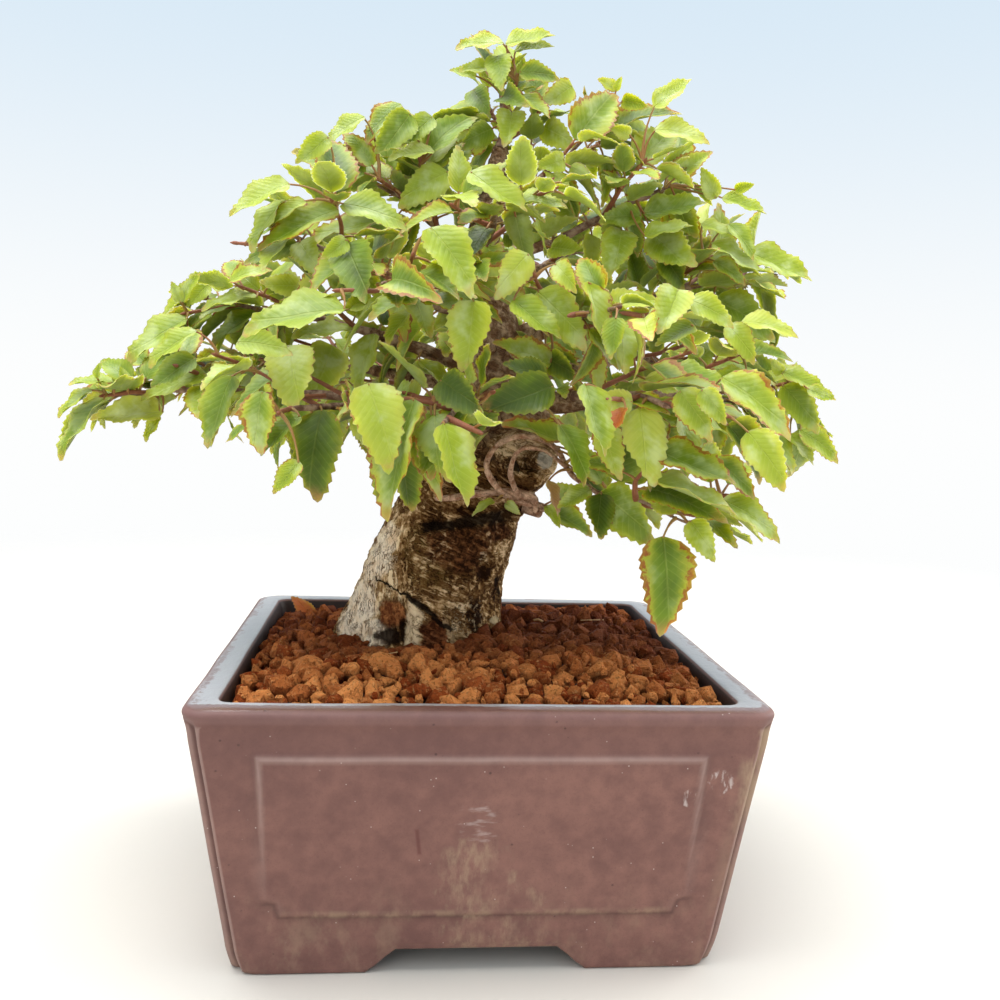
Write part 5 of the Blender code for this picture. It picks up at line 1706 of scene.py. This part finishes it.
def leaf_sheet(leaf):
    """A coarse sheet for testing what a leaf touches: eight corners and a middle."""
    start, aim, face, length, shape = leaf
    fold, arch = leaf_form(shape)
    across = face.cross(aim)
    base = start + aim * STALK
    corners = [(0.02, 0), (0.22, 1), (0.5, 0.88), (0.78, 0.5), (1, 0), (0.78, -0.5), (0.5, -0.88), (0.22, -1)]
    points = []
    for x, y in (*corners, (0.45, 0)):
        y = y * LEAF_HALF_WIDTH
        rise = fold * abs(y) - arch * x * x
        points.append(base + (aim * x + across * y + face * rise) * length)
    return [tuple(p) for p in points], [(i, (i + 1) % 8, 8) for i in range(8)]


class Room:
    """What fills the crown: search trees with their boxes, and the leaves that nothing may hide."""

    def __init__(self):
        self.low, self.high, self.trees, self.shown = [], [], [], []

    def add(self, points, faces):
        array = np.array(points)
        self.low.append(array.min(0))
        self.high.append(array.max(0))
        self.trees.append(BVHTree.FromPolygons(points, faces))

    def is_free(self, points, faces):
        array = np.array(points)
        close = (np.array(self.low) <= array.max(0)).all(1) & (np.array(self.high) >= array.min(0)).all(1)
        mine = BVHTree.FromPolygons(points, faces)
        return not any(mine.overlap(self.trees[i]) for i in np.flatnonzero(close))

    def suits_picture(self, points):
        """Inside the crown's outline, and in front of no leaf that the picture shows."""
        seen = picture_rows(points)
        if not inside(CROWN_OUTLINE, seen).all():
            return False
        for box, outline_points, far in self.shown:
            touching = (seen[:, 0] > box[0]) & (seen[:, 0] < box[2]) & (seen[:, 1] > box[1]) & (seen[:, 1] < box[3])
            touching &= seen[:, 2] < far
            if touching.any() and (inside(outline_points, seen) & touching).sum() > 0:
                return False
        return True

    def takes(self, leaf):
        """Adds the leaf if nothing is in its way."""
        sheet = leaf_sheet(leaf)
        fits = self.suits_picture(sheet[0]) and self.is_free(*sheet)
        if fits:
            self.add(*sheet)
        return fits

    def show(self, points):
        seen = picture_rows(points)
        box = (*seen[:, :2].min(0), *seen[:, :2].max(0))
        self.shown.append((box, seen[:8, :2], seen[:, 2].mean() + 2 * MM))


def turned(leaf, rng, strength):
    """The leaf, pushed aside a little."""
    start, aim, face, length, shape = leaf
    aim = (aim + jolt(rng, strength)).normalized()
    return start, aim, square(face + jolt(rng, strength), aim), length * 0.95, shape


def spur_leaves(path, first, spacing, rng):
    """More leaves on short spurs that stand up or hang between the twigs."""
    count = int(path_length(path) / spacing)
    found = []
    for i in range(count):
        row, along = point_at(path, first + (1 - first) * (i + rng.random()) / (count + 1))
        angle = rng.uniform(0, 2 * math.pi)
        side = sideways(along, 1)
        up = side.cross(along).normalized()
        found.append(leaf_at(row, along, side * math.cos(angle) + up * math.sin(angle), rng))
    return found


print(f"the crown's outline has {len(CROWN_OUTLINE)} corners")

# %% Fill the crown
def ready(leaf, rng):
    """A leaf of the growth rules with one of the shapes, turned a little, and smaller near the top."""
    start, aim, face, length, fold = leaf
    step = min(range(len(LEAF_FOLDS)), key=lambda i: abs(LEAF_FOLDS[i] - fold * 1.5))
    top = clamp((start.z - TOP_FROM) / TOP_SPAN)
    shape = step + len(LEAF_FOLDS) * rng.randrange(len(LEAF_ARCHES))
    return turned((start, aim, face, length * (1.0 - 0.3 * top), shape), rng, 0.2)


def place_shown(room, crown):
    """The leaves in front come first. One that would cut another comes a little nearer."""
    for row in SHOWN_LEAVES:
        for nearer in STEPS_NEARER:
            name, foot, leaf = shown_leaf(row, nearer * MM)
            sheet = leaf_sheet(leaf)
            if room.is_free(*sheet):
                break
        room.add(*sheet)
        room.show(sheet[0])
        crown[name].append((leaf, row[5] / 100, row[6] / 100, foot))


def fill_crown():
    room, crown = Room(), {name: [] for name in sprays}
    for name in ("trunk", "pot", "soil"):
        mesh = solids[name].data
        room.add([tuple(v.co) for v in mesh.vertices], [tuple(face.vertices) for face in mesh.polygons])
    place_shown(room, crown)
    for index, (name, (inner, outer, twigs, leaves)) in enumerate(sprays.items()):
        rng = random.Random(CROWN_SEED + index)
        wanted = sorted(leaves, key=lambda leaf: -(leaf[0] + leaf[1] * leaf[3] - CANOPY_CENTRE).length)
        for twig in twigs:
            wanted += spur_leaves(twig, 0.3, TWIG_SPURS, rng)
        wanted += spur_leaves(outer, 0.05, LIMB_SPURS, rng)
        if inner is not None:
            wanted += spur_leaves(inner, 0.5, INNER_SPURS, rng)
        for leaf in wanted:
            leaf = ready(leaf, rng)
            for attempt in range(TRIES):
                if room.takes(leaf):
                    crown[name].append((leaf, rng.gauss(0.52, 0.24), rng.random(), None))
                    break
                leaf = turned(leaf, rng, 0.12 + 0.07 * attempt)
    return room, crown


room, crown = fill_crown()
print(f"{sum(len(leaves) for leaves in crown.values())} leaves")

# %% [markdown]
# The crown in the photograph has few gaps. A coarse map of the picture says where no leaf shows yet, and more
# leaves grow towards those spots from the nearest twigs, if they find room.

# %% Close the gaps
MAP_CELL = 15
FARTHEST_TWIG, NEAREST_TRIED = 70, 10


def covered_cells(leaves):
    """The cells of the picture's map that leaves cover."""
    ticks = np.arange(MAP_CELL / 2, PICTURE_SIZE, MAP_CELL)
    x, y = (grid.ravel() for grid in np.meshgrid(ticks, ticks, indexing="ij"))
    places = np.column_stack([x, y])
    covered = np.zeros(len(places), bool)
    for leaf in leaves:
        seen = picture_rows(leaf_sheet(leaf)[0][:8])[:, :2]
        close = ((places > seen.min(0)) & (places < seen.max(0))).all(1) & ~covered
        if close.any():
            covered[close] = inside(seen, places[close])
    return places, covered


def leaf_towards(spot, origin, rng):
    """A leaf from a place on the wood whose middle lies over a spot of the picture."""
    _, foot, _, _, far = origin
    middle = from_picture(*spot, far - rng.uniform(-4, 5) * MM)
    aim = (middle - foot).normalized()
    length = min(24 * MM, max(14 * MM, (middle - foot).length * 1.5 + rng.uniform(-2, 3) * MM))
    face = UP * 0.8 + (EYE - foot).normalized() * 0.7 + jolt(rng, 0.35)
    return foot, aim, square(face, aim), length, rng.randrange(LEAF_SHAPES)


def close_gaps():
    rng = random.Random(GAP_SEED)
    places, covered = covered_cells([entry[0] for leaves in crown.values() for entry in leaves])
    open_cells = places[inside(CROWN_OUTLINE, places) & ~covered]
    added = 0
    for spot in open_cells:
        off = np.hypot(wood_picture[:, 0] - spot[0], wood_picture[:, 1] - spot[1])
        for i in np.argsort(off + np.array([rng.uniform(0, 14) for _ in off]))[:NEAREST_TRIED]:
            leaf = turned(leaf_towards(spot, wood[i], rng), rng, 0.1)
            if off[i] < FARTHEST_TWIG and room.takes(leaf):
                crown[wood[i][0]].append((leaf, rng.gauss(0.5, 0.22), rng.random(), None))
                added += 1
                break
    return len(open_cells), added


print("open cells and leaves added:", close_gaps())

# %% [markdown]
# ## Leaf colours
#
# The leaves are a fresh yellow green, some much darker or paler than others, with fine parallel veins. Late in the
# season their edges turn yellow, then a thin line along the teeth turns red brown, and a few spots appear. The upper
# side has a waxed sheen, with pale patches of painted sheen laid on it, and the subsurface setting lets a little
# light through.

# %% Leaf finish
VEINS = 11
paint = Paint("hornbeam_leaf", IOR=1.45, Specular_IOR_Level=0.38)
along, across, margin = (paint.stored(name) for name in ("leaf_x", "leaf_y", "leaf_margin"))
own, age, under = (paint.stored(name) for name in ("leaf_tone", "leaf_age", "leaf_under"))
vein_turn = (along - abs(across) * 0.95 + 0.02) * VEINS
to_vein = abs(vein_turn.fraction() - 0.5)
side_veins = to_vein.ramp(0.4, 0.5) * margin.ramp(0.8, 1, 1, 0)
rib = abs(across).ramp(0.005, 0.014, 1, 0)
veins = side_veins.most(rib)
blotch = paint.grain(7, 3, shift=2)
shade = own + (blotch - 0.5) * 0.45
shade = shade + abs(across).ramp(0.02, 0.2, -0.08, 0.08) + along.ramp(0.5, 1, 0, 0.1)
paint.colour = paint.mix(shade.ramp(0, 0.35), (66, 86, 6), (106, 130, 22))
paint.lay(shade.ramp(0.3, 0.7), (146, 162, 36))
paint.lay(shade.ramp(0.66, 1.1), (176, 184, 70))
# Painted sheen: pale patches on the upper side stand in for the sky's reflection
painted_sheen = paint.grain(8, 3, 0.6, shift=31).ramp(0.46, 0.66) * margin.ramp(0.5, 1, 1, 0.4)
paint.lay(painted_sheen * shade.ramp(0.15, 0.6, 0, 0.42), (204, 214, 160))
paint.lay(veins * shade.ramp(0, 0.4, 0.05, 0.15), (204, 208, 110))
ragged = paint.grain(2.4, 4, 0.65, shift=5)
yellow = (margin + (ragged - 0.5) * 0.7 + age * 0.4).ramp(0.62, 1.3)
paint.lay(yellow * (age * 0.5 + 0.1), (198, 186, 48))
blush = along.ramp(0.8, 1) * (ragged + age * 0.3).ramp(0.4, 0.66)
paint.lay(blush * 0.6, (190, 132, 84))
tip = along.ramp(0.8, 1) * age.ramp(0.35, 0.9)
rust = (margin + (ragged - 0.5) * 0.9 + age * 0.42 + tip * 0.35).ramp(1.1, 1.24)
paint.lay(rust * 0.92, paint.mix(tip, (138, 62, 28), (190, 96, 64)))
spots = paint.grain(3.4, 3, 0.7, shift=9).ramp(0.69, 0.73) * age.ramp(0.45, 0.9)
paint.lay(spots * 0.75, (112, 66, 36))
paint.lay(under * 0.4, (156, 172, 104))
dead = own.ramp(-0.6, -0.1, 1, 0)
paint.lay(dead, paint.mix(own.ramp(-1.3, -1.1), (186, 142, 92), (176, 92, 44)))
height = to_vein.ramp(0, 0.5) * -0.035 - rib * 0.1 + blotch * 0.5 + paint.grain(0.9, 2) * 0.03
leaf_green = paint.done(Roughness=0.4 + blotch * 0.12 + under * 0.25, Height=height)
paint.shader.inputs["Subsurface Weight"].default_value = 0.45
paint.shader.inputs["Subsurface Scale"].default_value = 0.7 * MM
paint.shader.inputs["Subsurface Radius"].default_value = (1.0, 0.95, 0.2)

# %% [markdown]
# ## Leaves on their stalks
#
# Each leaf becomes one point that carries its direction, its upper side, its length and its shape. `Axes to
# Rotation` makes a turn from two directions, which is just what a leaf needs.

# %% Leaf recipe
hang = Recipe("hang_leaves", shapes="shapes", finish="finish")
spots = hang.flow("GeometryNodeMeshToPoints", None, {0: hang.given["mesh"]})
axes = {"Primary Axis": hang.stored("aim", "FLOAT_VECTOR"), "Secondary Axis": hang.stored("face", "FLOAT_VECTOR")}
turn = hang.flow("FunctionNodeAxesToRotation", {"primary_axis": "X", "secondary_axis": "Z"}, axes)
hang.finish(hang.copies(spots, hang.stored("shape", "INT"), turn, hang.stored("length")))


def point_cloud(name, places, **kept):
    """Loose points that carry a list of numbers or vectors for each name."""
    mesh = new_mesh(name, [tuple(place) for place in places])
    for label, values in kept.items():
        kind = {Vector: "FLOAT_VECTOR", int: "INT", float: "FLOAT"}[type(values[0])]
        store(mesh, label, np.ravel(values), kind)
    return mesh


# %% Leaves
LEAF_OVERLAP = 0.3 * MM
for name, entries in crown.items():
    leaves, tones, ages, _ = zip(*entries)
    starts, aims, faces, lengths, shapes = zip(*leaves)
    places = [start + aim * (STALK - LEAF_OVERLAP) for start, aim in zip(starts, aims)]
    kept = {"aim": aims, "face": faces, "length": lengths, "shape": shapes, "leaf_tone": tones, "leaf_age": ages}
    cloud = point_cloud(f"leaves_{name}", places, **kept)
    foliage = hang.run(f"leaves_{name}", cloud, shapes=leaf_shapes, finish=leaf_green)
    declare(foliage, "leaves", f"spray_{name}")

# %% [markdown]
# ## Twigs and stalks
#
# Outer limbs, twigs and leaf stalks are lines with a thickness. They go into one mesh of edges, which the
# tree turns into curves and then into closed tubes. A number kept on the points says how red a line is: old
# limbs are brown and leaf stalks are red.


# %% Lines with a thickness
TWIG_SLIM, LIMB_SLIM, LOW_SLIM = 1.05, 0.95, 0.5
BEARING_REACH = 2.4 * MM


def wavy(path, step, sway, rng, slim):
    """The path with a twig's small zigzag, a little thinner towards its end."""
    count = max(2, int(path_length(path) / step))
    shift = Vector((rng.uniform(0, 99), rng.uniform(0, 99), 0))
    rows = []
    for i in range(count + 1):
        row, _ = point_at(path, min(0.9999, i / count))
        moved = noise.noise_vector(Vector(row[:3]) * 190 + shift) * sway * (0 if i == 0 else 1)
        knob = 1 + 0.25 * noise.noise(Vector(row[:3]) * 420 + shift)
        rows.append([*(Vector(row[:3]) + moved), row[3] * knob * slim * (1 - 0.3 * i / count)])
    return rows


def borne(rows, hangers):
    """The rows up to the last place where something hangs, and a pointed bud."""
    away = np.linalg.norm(np.array([row[:3] for row in rows])[:, None] - hangers[None], axis=2).min(1)
    used = np.flatnonzero(away < BEARING_REACH)
    if not len(used) or used[-1] == 0:
        return []
    rows = rows[: used[-1] + 1]
    tip, before = Vector(rows[-1][:3]), Vector(rows[-2][:3])
    onward = (tip - before).normalized() * MM
    return rows + [[*(tip + onward * far), width * MM] for far, width in ((0.6, 0.6), (1.4, 0.55), (2.4, 0.12))]


def stalk_rows(leaf):
    start, aim, face, _, _ = leaf
    spots = ((-0.1, 0, 0.55), (0.35, 0.1, 0.36), (0.75, 0.07, 0.32), (1.05, 0, 0.3))
    return [[*(start + aim * STALK * x + face * STALK * y), width * MM] for x, y, width in spots]


def long_stalk(leaf, foot):
    """From the wood to the base of a leaf: a short shoot, then the stalk."""
    start, aim, _, _, _ = leaf
    base = start + aim * STALK * 1.04
    reach = base - foot
    bend = foot + reach * 0.5 + (UP * 0.12 - aim * 0.16) * reach.length
    rows = []
    for i in range(7):
        t = i / 6
        place = foot * (1 - t) ** 2 + bend * 2 * t * (1 - t) + base * t * t
        rows.append([*place, (0.62 - 0.34 * min(1, t * 1.5)) * MM])
    return rows


def all_lines():
    """Every outer limb, twig and stalk, with how red it is."""
    lines = []
    rng = random.Random(TWIG_SEED)
    for name, (inner, outer, twigs, _) in sprays.items():
        back = outer
        if inner is not None:
            back = np.vstack([inner[-1:] + (inner[-2:-1] - inner[-1:]) * 0.12, outer])
        hangers = np.array([tuple(foot or leaf[0]) for leaf, _, _, foot in crown[name]])
        shoots = [borne(wavy(twig, 2.2 * MM, 0.4 * MM, rng, TWIG_SLIM), hangers) for twig in twigs]
        shoots = [rows for rows in shoots if rows]
        lines += [(rows, 0.5) for rows in shoots]
        forks = [rows[0][:3] for rows in shoots]
        slim = LOW_SLIM if name == "low_shoot" else LIMB_SLIM
        limb = borne(wavy(back, 2 * MM, 0.25 * MM, rng, slim), np.vstack([hangers, *forks]))
        lines.append((limb, 0.15))
        for leaf, _, _, foot in crown[name]:
            lines.append((long_stalk(leaf, foot) if foot else stalk_rows(leaf), 1.0))
    return [line for line in lines if line[0]]


def line_mesh(lines):
    points, edges, thickness, redness = [], [], [], []
    for rows, red in lines:
        first = len(points)
        points += [tuple(row[:3]) for row in rows]
        edges += [(first + i, first + i + 1) for i in range(len(rows) - 1)]
        thickness += [row[3] for row in rows]
        redness += [red] * len(rows)
    mesh = new_mesh("lines", points, edges)
    store(mesh, "thickness", thickness)
    store(mesh, "redness", redness)
    return mesh


tree_lines = all_lines()
print(f"{len(tree_lines)} limbs, twigs and stalks")

# %% Twig recipe
TUBE_SIDES = 6
draw = Recipe("draw_twigs", sides="count", finish="finish")
curve = draw.flow("GeometryNodeMeshToCurve", None, {0: draw.given["mesh"]})
ring = draw.flow("GeometryNodeCurvePrimitiveCircle", None, {"Resolution": draw.given["sides"], "Radius": 1.0})
tube = {"Curve": curve, "Profile Curve": ring, "Scale": draw.stored("thickness"), "Fill Caps": True}
draw.finish(draw.flow("GeometryNodeCurveToMesh", None, tube))

paint = Paint("young_bark", IOR=1.45)
red = paint.stored("redness")
old = paint.mix(paint.grain(3, 4, 0.6).ramp(0.38, 0.66), (98, 66, 50), (166, 138, 112))
twig_brown = paint.mix(paint.grain(2, 3), (112, 58, 40), (170, 108, 76))
stalk_red = paint.mix(paint.grain(6, 2), (158, 70, 50), (156, 146, 72))
paint.colour = paint.mix(red.ramp(0.1, 0.5), old, twig_brown)
paint.lay(red.ramp(0.55, 1), stalk_red)
height = paint.grain(1.2, 3, 0.65) * 0.3 * (1 - red * 0.7)
young = paint.done(Roughness=0.72 - red * 0.25, Height=height)
declare(draw.run("twigs", line_mesh(tree_lines), sides=TUBE_SIDES, finish=young), "bark")

# %% [markdown]
# ## Litter on the soil
#
# A dry leaf has blown against the back of the pot, and a few straws lie among the grains, each just above the
# mound.

# %% Litter
STRAWS = [
    (((-31, -38), (-27, -35), (-23, -29.5)), 0.16), (((-50.6, 22.5), (-50.2, 20), (-49.8, 17.5)), 0.3),
    (((22.4, 9.8), (23.7, 8.8), (25.2, 8.4)), 0.38), (((40, 20), (46, 23), (50, 29)), 0.14),
]
paint = Paint("dry_straw", IOR=1.4)
paint.colour = paint.mix(paint.grain(2, 3), (150, 104, 62), (204, 166, 114))
straw_tan = paint.done(Roughness=0.6 + paint.grain(3, 2) * 0.2)
lines = []
for straw, thick in STRAWS:
    spots = [(x, y, soil_height(x, y) + 3.2 + (0.5 if i == 1 else 0)) for i, (x, y) in enumerate(straw)]
    rows = smooth(np.array([(*spot, thick) for spot in spots]) * MM, 6)
    lines.append((rows.tolist(), 0.0))
declare(draw.run("straws", line_mesh(lines), sides=TUBE_SIDES, finish=straw_tan), "soil")
flat = {"aim": [Vector((-0.55, 0, 0.84))], "face": [Vector((0.35, -0.9, 0.23))], "length": [11 * MM], "shape": [9]}
place = (-54.3 * MM, 53 * MM, 69.6 * MM)
cloud = point_cloud("fallen_leaf", [place], **flat, leaf_tone=[-1.08], leaf_age=[0.6])
declare(hang.run("fallen_leaf", cloud, shapes=leaf_shapes, finish=leaf_green), "leaves")

# %% [markdown]
#
# The sizes of two boxes are printed in millimetres: the one the solids fill and the one the dressed part fills.
# The dressed part has to fill the same box as its solids, give or take a few millimetres.

# %% Sizes and finish
sizes = {"solids": solid_box, "dressed": [list(corner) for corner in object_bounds()]}
for label, (low, high) in sizes.items():
    print(label, [round((b - a) * 1000, 1) for a, b in zip(low, high)])
